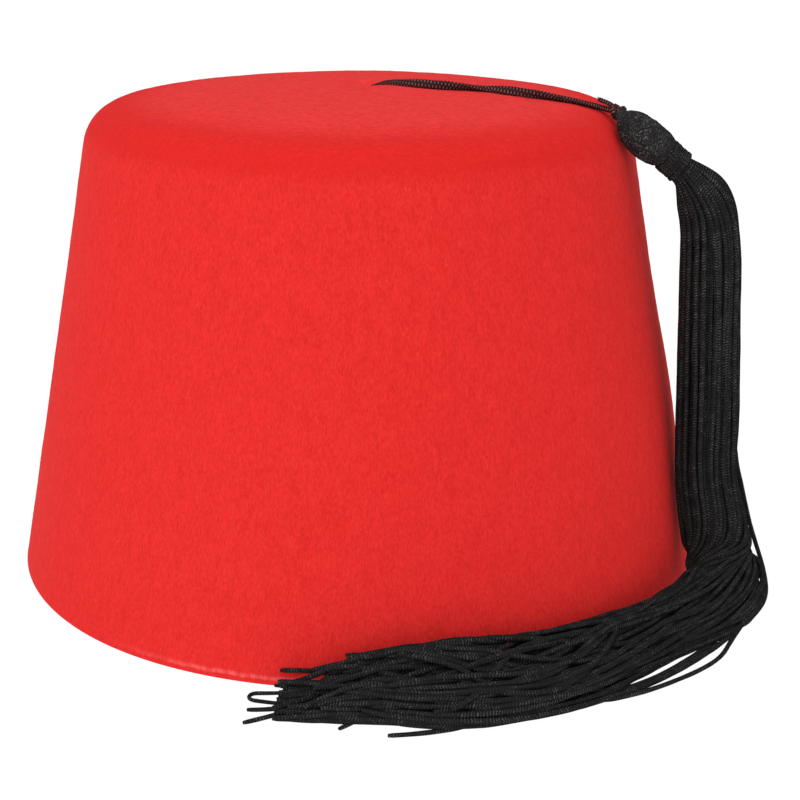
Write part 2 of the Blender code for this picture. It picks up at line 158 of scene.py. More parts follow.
# The bundle where it lies: azimuth, height and thickness upward as shares of HEAP_HEIGHT, stand and width as
# shares of HEAP_WIDTH, and how much higher it is at the wall.
LYING_ROWS = (
    (-22.2, 1.55, 1.36, 0.362, 0.79, 0.00),
    (-23.0, 0.94, 1.24, 0.435, 0.87, 0.04),
    (-25.0, 0.64, 1.06, 0.525, 0.92, 0.12),
    (-30.0, 0.50, 0.97, 0.515, 0.88, 0.24),
    (-37.0, 0.450, 0.89, 0.485, 0.83, 0.32),
    (-46.0, 0.430, 0.84, 0.410, 0.70, 0.36),
    (-55.0, 0.490, 0.97, 0.430, 0.78, 0.40),
    (-64.0, 0.520, 1.04, 0.485, 0.93, 0.42),
    (-73.0, 0.560, 1.13, 0.505, 0.96, 0.42),
    (-82.0, 0.600, 1.20, 0.465, 0.84, 0.42),
    (-90.0, 0.500, 1.00, 0.370, 0.64, 0.38),
    (-97.0, 0.320, 0.62, 0.375, 0.65, 0.30),
    (-105.0, 0.180, 0.36, 0.400, 0.71, 0.20),
)
ROOT_ROWS = ((0.90, 0.90), (1.00, 1.14))

# The head's thickness as shares of BULB_DIAMETER, by the share of the way along HEAD_ROWS, with the neck.
BULB_ROWS = (
    (0.05, 0.31),
    (0.09, 0.36),
    (0.13, 0.45),
    (0.18, 0.60),
    (0.25, 0.76),
    (0.34, 0.90),
    (0.44, 0.98),
    (0.54, 0.99),
    (0.62, 0.95),
    (0.675, 0.89),
    (0.70, 0.83),
    (0.74, 0.68),
    (0.85, 0.68),
    (1.00, 0.64),
)
BAND_START = 0.71
BAND_END = 0.965

# How far the bundle turns about its own way where it folds, in degrees, and the sections where it does so.
FOLD_TURN = 145.0
FOLD_SECTIONS = (8.8, 11.2)

# Strands: how many, how thick, how far apart the knitted stitches are, and the mesh round them.
STRAND_COUNT = 106
STRAND_DIAMETER = 0.00141
STITCH_PITCH = 0.00070
STRAND_SIDES = 8
RING_SPACING = 0.0009
STRAND_SPACING = 0.0017
NECK_SQUEEZE = 0.46
NECK_REACH = 0.0105
LYING_SQUEEZE = 0.90
STRAY_THICKNESS = 0.80
LOOP_THICKNESS = 0.66

# How much of the outer half of the bundle the strands fill, by section: strays take up the rest.
FILL_ROWS = (
    (0, 1.0),
    (7, 1.0),
    (8, 0.90),
    (9, 0.80),
    (10, 0.82),
    (11, 0.94),
    (12, 0.98),
    (13, 0.92),
    (14, 0.86),
    (15, 0.90),
    (16, 0.98),
    (21, 1.0),
)

# Strands with a way of their own. Each leaves the bundle at one section and may join it again at another, and
# between them its points are azimuth, distance from the axis and height in mm. Seat is its place in the
# bundle, back is its place once it has joined again and thick is its share of STRAND_DIAMETER.
STRAYS = (
    {"seat": (-0.80, -0.56), "leave": 7.4, "join": 12.2, "end": 20.3, "back": (0.90, 0.10),
     "points": ((-17.4, 106.3, 28.2), (-17.6, 107.8, 22.8), (-17.9, 109.2, 17.4), (-18.4, 111.3, 12.3),
                (-19.2, 113.9, 7.4), (-20.4, 115.8, 3.5), (-22.2, 116.8, 1.2), (-24.5, 116.9, 1.0))},
    {"seat": (0.95, -0.28), "leave": 12.0, "join": 16.4, "end": 20.0,
     "points": ((-34.6, 115.6, 1.0), (-37.6, 116.2, 0.9), (-39.6, 117.6, 0.9), (-41.0, 118.9, 0.9),
                (-43.0, 119.5, 0.9), (-47.1, 119.1, 0.9), (-50.3, 118.4, 0.9), (-54.5, 118.1, 0.9),
                (-58.0, 117.1, 0.9), (-61.6, 115.7, 0.9))},
    {"seat": (0.90, 0.10), "thick": 1.0, "leave": 12.2, "join": 16.0, "end": 18.9,
     "points": ((-37.0, 114.9, 1.6), (-40.0, 115.4, 1.0), (-43.2, 115.2, 0.9), (-47.3, 115.5, 0.9),
                (-51.7, 115.8, 0.9), (-55.6, 116.0, 0.9), (-58.8, 115.5, 0.9))},
    {"seat": (0.84, -0.42), "thick": 1.0, "leave": 12.4, "join": 15.9, "end": 20.2,
     "points": ((-39.0, 113.6, 1.2), (-42.1, 113.9, 0.9), (-44.5, 113.9, 0.9), (-48.2, 114.4, 0.9),
                (-51.4, 114.6, 0.9), (-55.1, 114.9, 0.9), (-58.0, 114.4, 0.9))},
    {"seat": (0.30, -0.72), "leave": 19.3,
     "points": ((-98.0, 99.2, 1.3), (-101.0, 98.4, 0.9), (-103.6, 99.4, 0.9))},
    {"seat": (0.55, -0.70), "leave": 19.3,
     "points": ((-98.0, 103.4, 1.3), (-101.0, 103.4, 0.9), (-103.4, 103.0, 0.9))},
    {"seat": (0.70, -0.55), "leave": 19.4,
     "points": ((-98.6, 106.0, 1.0), (-101.5, 106.9, 0.9), (-103.8, 107.6, 0.9))},
    {"seat": (0.86, -0.40), "leave": 19.3,
     "points": ((-97.0, 106.4, 1.6), (-100.5, 109.0, 0.9), (-103.4, 113.4, 0.9))},
    {"seat": (0.93, 0.22), "leave": 18.4,
     "points": ((-87.0, 106.2, 4.0), (-90.0, 109.2, 1.6), (-92.3, 113.2, 0.9))},
    {"seat": (0.99, -0.12), "leave": 17.0,
     "points": ((-77.5, 115.0, 1.0), (-81.0, 116.2, 0.9), (-84.6, 116.8, 0.9), (-87.0, 116.6, 0.9))},
    {"seat": (-0.62, 0.70), "leave": 18.2,
     "points": ((-86.2, 94.2, 10.6), (-89.0, 93.9, 9.8), (-91.8, 93.6, 9.2))},
    {"seat": (-0.70, 0.48), "leave": 19.2,
     "points": ((-94.6, 94.8, 6.2), (-98.0, 94.6, 5.4), (-101.3, 94.7, 4.9))},
    {"seat": (-0.55, 0.20), "leave": 19.3,
     "points": ((-97.0, 96.4, 2.6), (-99.4, 96.0, 2.0), (-102.0, 96.2, 1.6))},
)
LOOPED_STRAYS = (4, 5)

SETTLE_ROUNDS = 320

# Points all round the felt's wall and, on the crown, inside each of these distances from the axis.
WALL_SEGMENTS = 432
CROWN_SEGMENTS = ((0.0022, 27), (0.0045, 54), (0.0095, 108), (0.026, 216))

# How many loose fibres lie on the felt.
FIBRES = 15000

# How far the floor goes each way.
FLOOR_REACH = 30.0

rng = np.random.default_rng(17)


# Shapes from numbers


def smooth_curve(rows, ways):
    """Points of a Catmull-Rom curve through rows of numbers, at ways from 0 to 1."""
    rows = np.asarray(rows, float)
    last = len(rows) - 1
    at = np.clip(np.atleast_1d(np.asarray(ways, float)), 0.0, 1.0) * last
    k = np.minimum(at.astype(int), last - 1)
    u = (at - k)[:, None]
    padded = np.vstack([2 * rows[0] - rows[1], rows, 2 * rows[-1] - rows[-2]])
    a, b, c, d = (padded[k + step] for step in range(4))
    return 0.5 * (2 * b + (c - a) * u + (2 * a - 5 * b + 4 * c - d) * u**2 + (3 * b - a - 3 * c + d) * u**3)


def smooth_step(low, high, values):
    t = np.clip((np.asarray(values, float) - low) / (high - low), 0.0, 1.0)
    return t * t * (3 - 2 * t)


def lengths_along(points):
    steps = np.linalg.norm(np.diff(points, axis=0), axis=1)
    return np.concatenate(([0.0], np.cumsum(steps)))


def unit_rows(rows):
    return rows / np.linalg.norm(rows, axis=1)[:, None]


def turns_round(count):
    return 2 * np.pi * np.arange(count) / count


def read_at(points, along, at):
    """A polyline read at these lengths along it."""
    return np.stack([np.interp(at, along, points[:, k]) for k in range(3)], axis=1)


def evenly(points, spacing):
    """A polyline read again at even steps of its length."""
    along = lengths_along(points)
    count = max(2, int(round(along[-1] / spacing)) + 1)
    return read_at(points, along, np.linspace(0.0, along[-1], count))


def frames_along(points):
    """Two directions across a polyline at each point, carried along without twist."""
    tangents = unit_rows(np.gradient(points, axis=0))
    side = np.array(Vector(tangents[0]).orthogonal(), float)
    sides = []
    for tangent in tangents:
        side = side - tangent * side.dot(tangent)
        side = side / math.sqrt(side.dot(side))
        sides.append(side)
    sides = np.array(sides)
    return sides, np.cross(tangents, sides)


def round_rings(line, radius, turn):
    """Rings round a line. The radius has a row for each ring, and one column or one for each turn."""
    side, up = frames_along(line)
    c, s = np.cos(turn)[None, :, None], np.sin(turn)[None, :, None]
    return line[:, None, :] + radius[:, :, None] * (c * side[:, None, :] + s * up[:, None, :])


def flat_rings(line, wide, across, thin, through):
    """Rings round a line, from how far each point stands out in two directions."""
    return line[:, None, :] + wide[:, :, None] * across[:, None, :] + thin[:, :, None] * through[:, None, :]


def mesh_of(name, points, quads, triangles, corner_maps=()):
    """A mesh from arrays of points and faces. corner_maps are named UV maps given for each face corner."""
    faces = [quads.reshape(-1, 4)] if len(quads) else []
    faces += [triangles.reshape(-1, 3)] if len(triangles) else []
    sizes = np.concatenate([np.full(len(f), f.shape[1], np.int32) for f in faces])
    corners = np.concatenate([f.ravel() for f in faces]).astype(np.int32)
    mesh = bpy.data.meshes.new(name)
    mesh.vertices.add(len(points))
    mesh.vertices.foreach_set("co", np.asarray(points, np.float32).ravel())
    mesh.loops.add(len(corners))
    mesh.loops.foreach_set("vertex_index", corners)
    mesh.polygons.add(len(sizes))
    starts = np.concatenate(([0], np.cumsum(sizes)[:-1])).astype(np.int32)
    mesh.polygons.foreach_set("loop_start", starts)
    mesh.polygons.foreach_set("use_smooth", np.ones(len(sizes), bool))
    for label, places in corner_maps:
        layer = mesh.uv_layers.new(name=label)
        layer.uv.foreach_set("vector", np.asarray(places, np.float32).ravel())
    mesh.update(calc_edges=True)
    mesh.validate()
    return mesh


def rings_mesh(name, runs):
    """One mesh of closed tubes. Each run is its rings, an array of rings by sides by 3, and a map of its
    stitches: the columns at each point of the rings, how many columns go all round, and the rows."""
    points, quads, triangles, quad_places, triangle_places = [], [], [], [], []
    base = 0
    for rings, columns, whole, rows in runs:
        count, sides = rings.shape[:2]
        grid = base + np.arange(count * sides).reshape(count, sides)
        nxt = np.roll(grid, -1, axis=1)
        quads.append(np.stack([grid[:-1], nxt[:-1], nxt[1:], grid[1:]], axis=-1).reshape(-1, 4))
        hubs = base + count * sides + np.arange(2)
        triangles.append(np.stack([nxt[0], grid[0], np.full(sides, hubs[0])], axis=-1))
        triangles.append(np.stack([grid[-1], nxt[-1], np.full(sides, hubs[1])], axis=-1))
        points.append(rings.reshape(-1, 3))
        points.append(np.stack([rings[0].mean(axis=0), rings[-1].mean(axis=0)]))
        place = np.stack([np.broadcast_to(columns, (count, sides)),
                          np.broadcast_to(np.reshape(rows, (count, -1)), (count, sides))], axis=-1)
        follow = np.roll(place, -1, axis=1)
        follow[:, -1, 0] += whole
        quad_places.append(np.stack([place[:-1], follow[:-1], follow[1:], place[1:]], axis=2).reshape(-1, 2))
        for end, order in ((0, (follow, place)), (-1, (place, follow))):
            middle = np.broadcast_to(place[end].mean(axis=0), (sides, 2))
            triangle_places.append(np.stack([order[0][end], order[1][end], middle], axis=1).reshape(-1, 2))
        base += count * sides + 2
    return mesh_of(
        name,
        np.concatenate(points),
        np.concatenate(quads),
        np.concatenate(triangles),
        [("thread", np.concatenate(quad_places + triangle_places))],
    )


def add_piece(name, mesh, finish, nodes=()):
    """A piece that rides on the body, with its finish and the solids that it stands for."""
    piece = bpy.data.objects.new(name, mesh)
    bpy.context.scene.collection.objects.link(piece)
    mesh.materials.append(finish)
    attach(piece, "root")
    if nodes:
        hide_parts(*nodes)
    return piece


# Form of the hat


def wall_lean():
    return math.atan2((BASE_DIAMETER - TOP_DIAMETER) / 2, WALL_HEIGHT)


def wall_radius(z):
    return BASE_DIAMETER / 2 - z * math.tan(wall_lean())


def edge_centre():
    z = WALL_HEIGHT - CROWN_EDGE_RADIUS
    return wall_radius(z) - CROWN_EDGE_RADIUS / math.cos(wall_lean()), z


def edge_point(lean, stand):
    radius, z = edge_centre()
    reach = CROWN_EDGE_RADIUS + stand
    return radius + reach * math.sin(lean), z + reach * math.cos(lean)


def crown_lean():
    return math.atan2(2 * CROWN_RISE, edge_centre()[0])


def crown_height(radius):
    foot_radius, foot_height = edge_point(crown_lean(), 0.0)
    rise = WALL_HEIGHT + CROWN_RISE - foot_height
    hollow = max(0.0, 1 - (2 * radius / DIMPLE_DIAMETER) ** 2)
    return foot_height + rise * (1 - (radius / foot_radius) ** 2) - DIMPLE_DEPTH * hollow**2


def around(azimuth, radius, z):
    turn = math.radians(azimuth)
    return (radius * math.cos(turn), radius * math.sin(turn), z)


def head_points(ways):
    rows = []
    for azimuth, lean, stand in HEAD_ROWS:
        radius, z = edge_point(math.radians(lean), stand * BULB_DIAMETER)
        rows.append(around(azimuth, radius, z))
    return smooth_curve(rows, ways)


def bundle_sections():
    """Each section of the strands: its middle, half its thickness upward or along, half outward, wedge."""
    neck = NECK_DIAMETER - 2 * BAND_THICKNESS
    made = []
    for way, thick in ROOT_ROWS:
        made.append((*head_points(way)[0], thick * neck / 2, thick * neck / 2, 0.0))
    for azimuth, height, stand, along, outward in HANGING_ROWS:
        z = height * WALL_HEIGHT
        half = SKIRT_DIAMETER / 2
        middle = around(azimuth, wall_radius(z) + stand * SKIRT_DIAMETER, z)
        made.append((*middle, along * half, outward * half, 0.0))
    for azimuth, height, tall, stand, wide, wedge in LYING_ROWS:
        middle = around(azimuth, wall_radius(0.0) + stand * HEAP_WIDTH, height * HEAP_HEIGHT)
        made.append((*middle, tall * HEAP_HEIGHT / 2, wide * HEAP_WIDTH / 2, wedge))
    return np.array(made)


def in_bundle(sections, at, u, v):
    """Points of the bundle at sections at, where u is the share outward and v the share along or upward."""
    last = len(sections) - 1
    rows = smooth_curve(sections, at / last)
    middles = sections[:, :3]
    ahead = smooth_curve(middles, (at + 0.05) / last) - smooth_curve(middles, (at - 0.05) / last)
    tangent = unit_rows(ahead)
    outward = rows[:, :3] * (1.0, 1.0, 0.0)
    outward -= tangent * (outward * tangent).sum(axis=1)[:, None]
    outward = unit_rows(outward)
    along = np.cross(outward, tangent)
    tall = rows[:, 3] * (1 - rows[:, 5] * u)
    made = rows[:, :3] + outward * (u * rows[:, 4])[:, None] + along * (v * tall)[:, None]
    made[:, 2] += tall - rows[:, 3]
    return made


# Materials


def new_material(name):
    made = bpy.data.materials.new(name)
    made.use_nodes = True
    return made, made.node_tree, made.node_tree.nodes["Principled BSDF"]


def add_node(tree, kind, settings=(), **inputs):
    """A node with settings as pairs, and inputs as numbers or as sockets to link from."""
    made = tree.nodes.new(kind)
    for key, value in settings:
        setattr(made, key, value)
    for key, value in inputs.items():
        socket = made.inputs[int(key[1:])] if key[0] == "i" and key[1:].isdigit() else made.inputs[key]
        if isinstance(value, bpy.types.NodeSocket):
            tree.links.new(value, socket)
        else:
            socket.default_value = value
    return made


def maths(tree, operation, first, second=0.0, third=0.0):
    made = add_node(tree, "ShaderNodeMath", [("operation", operation)], i0=first, i1=second, i2=third)
    return made.outputs[0]


def times(tree, first, second):
    return maths(tree, "MULTIPLY", first, second)


def noise_at(tree, vector, scale, detail=2.0, roughness=0.5, distortion=0.0):
    made = add_node(tree, "ShaderNodeTexNoise", (), Vector=vector, Scale=scale, Detail=detail,
                    Roughness=roughness, Distortion=distortion)
    return made.outputs["Fac"]


def stretched(tree, vector, scale):
    made = add_node(tree, "ShaderNodeMapping", (), Vector=vector)
    made.inputs["Scale"].default_value = scale
    return made.outputs["Vector"]


def spread(tree, value, low, high, to_low=0.0, to_high=1.0):
    made = add_node(tree, "ShaderNodeMapRange", [("interpolation_type", "SMOOTHSTEP")], Value=value)
    for key, number in (("From Min", low), ("From Max", high), ("To Min", to_low), ("To Max", to_high)):
        made.inputs[key].default_value = number
    return made.outputs["Result"]


def mixed(tree, share, first, second):
    """A mix of two colours."""
    made = add_node(tree, "ShaderNodeMix", [("data_type", "RGBA")])
    for index, value in ((0, share), (6, first), (7, second)):
        if isinstance(value, bpy.types.NodeSocket):
            tree.links.new(value, made.inputs[index])
        else:
            made.inputs[index].default_value = value if index == 0 else (*value, 1.0)
    return made.outputs[2]


def mixed_value(tree, share, first, second):
    made = add_node(tree, "ShaderNodeMix", [("data_type", "FLOAT")])
    for index, value in ((0, share), (2, first), (3, second)):
        if isinstance(value, bpy.types.NodeSocket):
            tree.links.new(value, made.inputs[index])
        else:
            made.inputs[index].default_value = value
    return made.outputs[0]


def felt_material():
    """Needled felt: a nap that runs down the wall, thicker and thinner places, and pale loose fibres.

    The crown has painted sheen that makes it paler and pinker, its rounded edge painted shade that makes it a
    little deeper, and a painted highlight runs along the lip in front."""
    made, tree, shader = new_material("red_felt")
    place = add_node(tree, "ShaderNodeTexCoord").outputs["Object"]
    normal = add_node(tree, "ShaderNodeNewGeometry").outputs["Normal"]
    upward = add_node(tree, "ShaderNodeSeparateXYZ", (), Vector=normal).outputs["Z"]
    on_crown = spread(tree, maths(tree, "ABSOLUTE", upward), 0.45, 0.85)

    nap_wall = noise_at(tree, stretched(tree, place, (1.0, 1.0, 0.34)), 2250.0, 3.0, 0.7, 0.3)
    nap_crown = noise_at(tree, stretched(tree, place, (0.5, 1.0, 1.0)), 1300.0, 3.0, 0.7, 0.5)
    nap = mixed_value(tree, on_crown, nap_wall, nap_crown)
    tufts = noise_at(tree, stretched(tree, place, (1.0, 1.0, 0.45)), 560.0, 3.0, 0.6, 0.4)
    mottle = noise_at(tree, stretched(tree, place, (1.0, 1.0, 0.6)), 250.0, 2.0, 0.5, 0.4)
    fibre_wall = noise_at(tree, stretched(tree, place, (1.0, 1.0, 0.13)), 2800.0, 2.0, 0.5, 0.8)
    fibre_crown = noise_at(tree, stretched(tree, place, (0.3, 1.0, 1.0)), 2300.0, 2.0, 0.5, 1.2)
    fibre = spread(tree, mixed_value(tree, on_crown, fibre_wall, fibre_crown), 0.60, 0.72)

    shade = maths(tree, "MULTIPLY_ADD", nap, 0.74, times(tree, tufts, 0.22))
    shade = maths(tree, "MULTIPLY_ADD", mottle, 0.10, shade)
    shade = spread(tree, shade, 0.34, 0.72)
    body = mixed(tree, shade, (0.595, 0.0168, 0.0150), (0.775, 0.0300, 0.0272))
    level = stretched(tree, place, (1.0, 1.0, 0.0))
    reach = add_node(tree, "ShaderNodeVectorMath", [("operation", "LENGTH")], i0=level).outputs["Value"]
    # Painted shade: the felt is darkened on the rounded edge where the crown turns down into the wall.
    painted_edge_shade = times(tree, spread(tree, upward, 0.08, 0.55), spread(tree, reach, 0.050, 0.067))
    body = mixed(tree, times(tree, painted_edge_shade, 0.5), body, (0.55, 0.0095, 0.0075))
    # Painted sheen: the top of the crown is paler and pinker, as felt looks where light grazes it.
    flat = mixed(tree, shade, (0.58, 0.0245, 0.0232), (0.80, 0.0425, 0.0408))
    painted_sheen_mask = times(tree, spread(tree, upward, 0.80, 0.98), spread(tree, reach, 0.067, 0.046))
    body = mixed(tree, painted_sheen_mask, body, flat)
    body = mixed(tree, times(tree, fibre, 0.13), body, (0.90, 0.13, 0.12))

    parts = add_node(tree, "ShaderNodeSeparateXYZ", (), Vector=place)
    # Painted highlight: a pale line along the lip just above the cut edge, in front only and broken up by the
    # tufts.
    wave = maths(tree, "MULTIPLY_ADD", mottle, 0.0007, parts.outputs["Z"])
    pale = times(tree, spread(tree, wave, 0.0014, 0.0020), spread(tree, wave, 0.0031, 0.0021))
    facing_out = spread(tree, maths(tree, "ABSOLUTE", upward), 0.6, 0.4)
    in_front = times(tree, spread(tree, parts.outputs["X"], -0.066, -0.030, 0.0, 0.42),
                     spread(tree, parts.outputs["Y"], 0.0, -0.06))
    in_front = times(tree, in_front, spread(tree, tufts, 0.34, 0.60, 0.35, 1.0))
    pale = times(tree, times(tree, pale, facing_out), in_front)
    body = mixed(tree, pale, body, (0.92, 0.20, 0.20))
    tree.links.new(body, shader.inputs["Base Color"])

    rough = spread(tree, nap, 0.2, 0.8, 0.88, 1.0)
    tree.links.new(rough, shader.inputs["Roughness"])
    shader.inputs["Specular IOR Level"].default_value = 0.07
    shader.inputs["Sheen Weight"].default_value = 0.03
    shader.inputs["Sheen Roughness"].default_value = 0.45
    shader.inputs["Sheen Tint"].default_value = (1.0, 0.40, 0.38, 1.0)

    relief = maths(tree, "MULTIPLY_ADD", nap, 0.95, times(tree, tufts, 0.45))
    relief = maths(tree, "MULTIPLY_ADD", fibre, 0.25, relief)
    bump = add_node(tree, "ShaderNodeBump", (), Strength=0.5, Distance=0.0002, Height=relief)
    tree.links.new(bump.outputs["Normal"], shader.inputs["Normal"])
    return made


def fuzz_material():
    """The felt's loose fibres, a little paler than the felt."""
    made, tree, shader = new_material("felt_fibres")
    place = add_node(tree, "ShaderNodeTexCoord").outputs["Object"]
    vary = noise_at(tree, place, 900.0, 1.0)
    tint = mixed(tree, vary, (0.72, 0.020, 0.019), (0.92, 0.085, 0.080))
    tree.links.new(tint, shader.inputs["Base Color"])
    shader.inputs["Roughness"].default_value = 0.95
    shader.inputs["Specular IOR Level"].default_value = 0.1
    return made


def thread_material(name, dark, light, relief, style="chevrons"):
    """Black thread with painted highlights that make the tops of its stitches paler: chevrons, dots set like
    bricks, or grain.
    """
    made, tree, shader = new_material(name)
    uv = add_node(tree, "ShaderNodeUVMap", [("uv_map", "thread")]).outputs["UV"]
    parts = add_node(tree, "ShaderNodeSeparateXYZ", (), Vector=uv)
    place = add_node(tree, "ShaderNodeTexCoord").outputs["Object"]
    fine = noise_at(tree, place, 4200.0, 2.0, 0.6)
    patch = noise_at(tree, place, 300.0, 3.0, 0.6)
    if style == "chevrons":
        column = maths(tree, "FRACT", parts.outputs["X"])
        across = maths(tree, "ABSOLUTE", maths(tree, "SUBTRACT", column, 0.5))
        wave = maths(tree, "MULTIPLY_ADD", across, 1.15, parts.outputs["Y"])
        wave = maths(tree, "MULTIPLY_ADD", fine, 0.60, wave)
        wave = maths(tree, "MULTIPLY_ADD", patch, 2.0, wave)
        row = maths(tree, "ABSOLUTE", maths(tree, "SUBTRACT", maths(tree, "FRACT", wave), 0.5))
        knit = times(tree, spread(tree, row, 0.24, 0.47), spread(tree, across, 0.50, 0.34))
        knit = times(tree, knit, spread(tree, fine, 0.42, 0.62, 0.12, 1.0))
    else:
        across = maths(tree, "COSINE", times(tree, parts.outputs["X"], math.pi))
        along = maths(tree, "COSINE", times(tree, parts.outputs["Y"], 2 * math.pi))
        dots = times(tree, across, along)
        if style == "dots":
            knit = spread(tree, dots, 0.05, 0.65)
            knit = times(tree, knit, spread(tree, fine, 0.30, 0.60, 0.45, 1.0))
        else:
            grain = noise_at(tree, place, 2400.0, 2.0, 0.65, 0.6)
            knit = spread(tree, maths(tree, "MULTIPLY_ADD", dots, 0.10, grain), 0.50, 0.68)
            knit = times(tree, knit, spread(tree, fine, 0.34, 0.66, 0.25, 1.0))
    # Patches where the painted highlights on the stitch tops are stronger or weaker.
    dust_and_sheen = noise_at(tree, place, 1500.0, 1.0, 0.5)
    knit = times(tree, knit, spread(tree, dust_and_sheen, 0.34, 0.62, 0.5, 1.15))
    # Painted light: the stitch highlights grow up to half as bright again higher up, where more light falls
    # on the hanging strands.
    height_here = add_node(tree, "ShaderNodeSeparateXYZ", (), Vector=place).outputs["Z"]
    knit = times(tree, knit, spread(tree, height_here, 0.035, 0.075, 0.92, 1.55))
    least = 0.70 if style == "dots" else 0.25
    # Painted highlight: the stitch tops are paler than the dark thread, more so in some patches.
    lift = times(tree, knit, spread(tree, patch, 0.36, 0.66, least, 1.0))
    tree.links.new(mixed(tree, lift, dark, light), shader.inputs["Base Color"])
    tree.links.new(spread(tree, fine, 0.2, 0.8, 0.60, 0.80), shader.inputs["Roughness"])
    shader.inputs["Specular IOR Level"].default_value = 0.0
    height = maths(tree, "MULTIPLY_ADD", fine, 0.3, knit)
    bump = add_node(tree, "ShaderNodeBump", (), Strength=0.8, Distance=relief, Height=height)
    tree.links.new(bump.outputs["Normal"], shader.inputs["Normal"])
    return made


def floor_material():
    made, tree, shader = new_material("studio_floor")
    place = add_node(tree, "ShaderNodeTexCoord").outputs["Object"]
    tint = mixed(tree, noise_at(tree, place, 3.0), (0.055, 0.055, 0.055), (0.065, 0.065, 0.065))
    tree.links.new(tint, shader.inputs["Base Color"])
    shader.inputs["Roughness"].default_value = 1.0
    shader.inputs["Specular IOR Level"].default_value = 0.0
    shader.inputs["Emission Color"].default_value = (1.0, 1.0, 1.0, 1.0)
    shader.inputs["Emission Strength"].default_value = 0.985
    return made


# Camera, floor and light


def add_camera():
    forward = Vector((
        math.sin(CAMERA_RIGHT) * math.cos(CAMERA_DOWN),
        math.cos(CAMERA_RIGHT) * math.cos(CAMERA_DOWN),
        -math.sin(CAMERA_DOWN),
    ))
    level = Vector((math.cos(CAMERA_RIGHT), -math.sin(CAMERA_RIGHT), 0.0))
    upright = level.cross(forward)
    right = level * math.cos(CAMERA_ROLL) + upright * math.sin(CAMERA_ROLL)
    up = upright * math.cos(CAMERA_ROLL) - level * math.sin(CAMERA_ROLL)
    made = bpy.data.cameras.new("camera")
    made.lens = CAMERA_LENS
    made.sensor_width = 36.0
    made.sensor_fit = "HORIZONTAL"
    made.clip_start = 0.01
    camera = bpy.data.objects.new("camera", made)
    bpy.context.scene.collection.objects.link(camera)
    turn = Matrix((right, up, -forward)).transposed().to_4x4()
    camera.matrix_world = Matrix.Translation(CAMERA_PLACE) @ turn
    bpy.context.scene.camera = camera


def add_light(name, place, target, size, watts):
    made = bpy.data.lights.new(name, "AREA")
    made.shape = "RECTANGLE"
    made.size, made.size_y = size
    made.energy = watts
    light = bpy.data.objects.new(name, made)
    bpy.context.scene.collection.objects.link(light)
    light.location = place
    light.rotation_euler = (Vector(target) - Vector(place)).to_track_quat("-Z", "Y").to_euler()


def add_studio():
    floor = bpy.data.objects.new("floor", bpy.data.meshes.new("floor"))
    reach = FLOOR_REACH
    corners = [(-reach, -reach, 0), (reach, -reach, 0), (reach, reach, 0), (-reach, reach, 0)]
    floor.data.from_pydata(corners, [], [(0, 1, 2, 3)])
    bpy.context.scene.collection.objects.link(floor)
    floor.data.materials.append(floor_material())
    world = bpy.data.worlds.new("studio")
    world.use_nodes = True
    tree = world.node_tree
    facing = add_node(tree, "ShaderNodeVectorMath", [("operation", "DOT_PRODUCT")])
    tree.links.new(add_node(tree, "ShaderNodeTexCoord").outputs["Generated"], facing.inputs[0])
    facing.inputs[1].default_value = (-0.34, -0.93, 0.14)
    strength = spread(tree, facing.outputs["Value"], -0.80, 0.80, 0.18, 1.17)
    background = tree.nodes["Background"]
    background.inputs["Color"].default_value = (1.0, 1.0, 1.0, 1.0)
    tree.links.new(strength, background.inputs["Strength"])
    bpy.context.scene.world = world
    bpy.context.scene.view_settings.view_transform = "Standard"
    add_light("key", (-0.55, -0.75, 0.75), (0.0, 0.0, 0.06), (0.6, 0.6), 2.5)
    add_light("top", (0.15, 0.10, 0.95), (0.0, 0.0, 0.08), (0.9, 0.9), 2.7)


# Felt


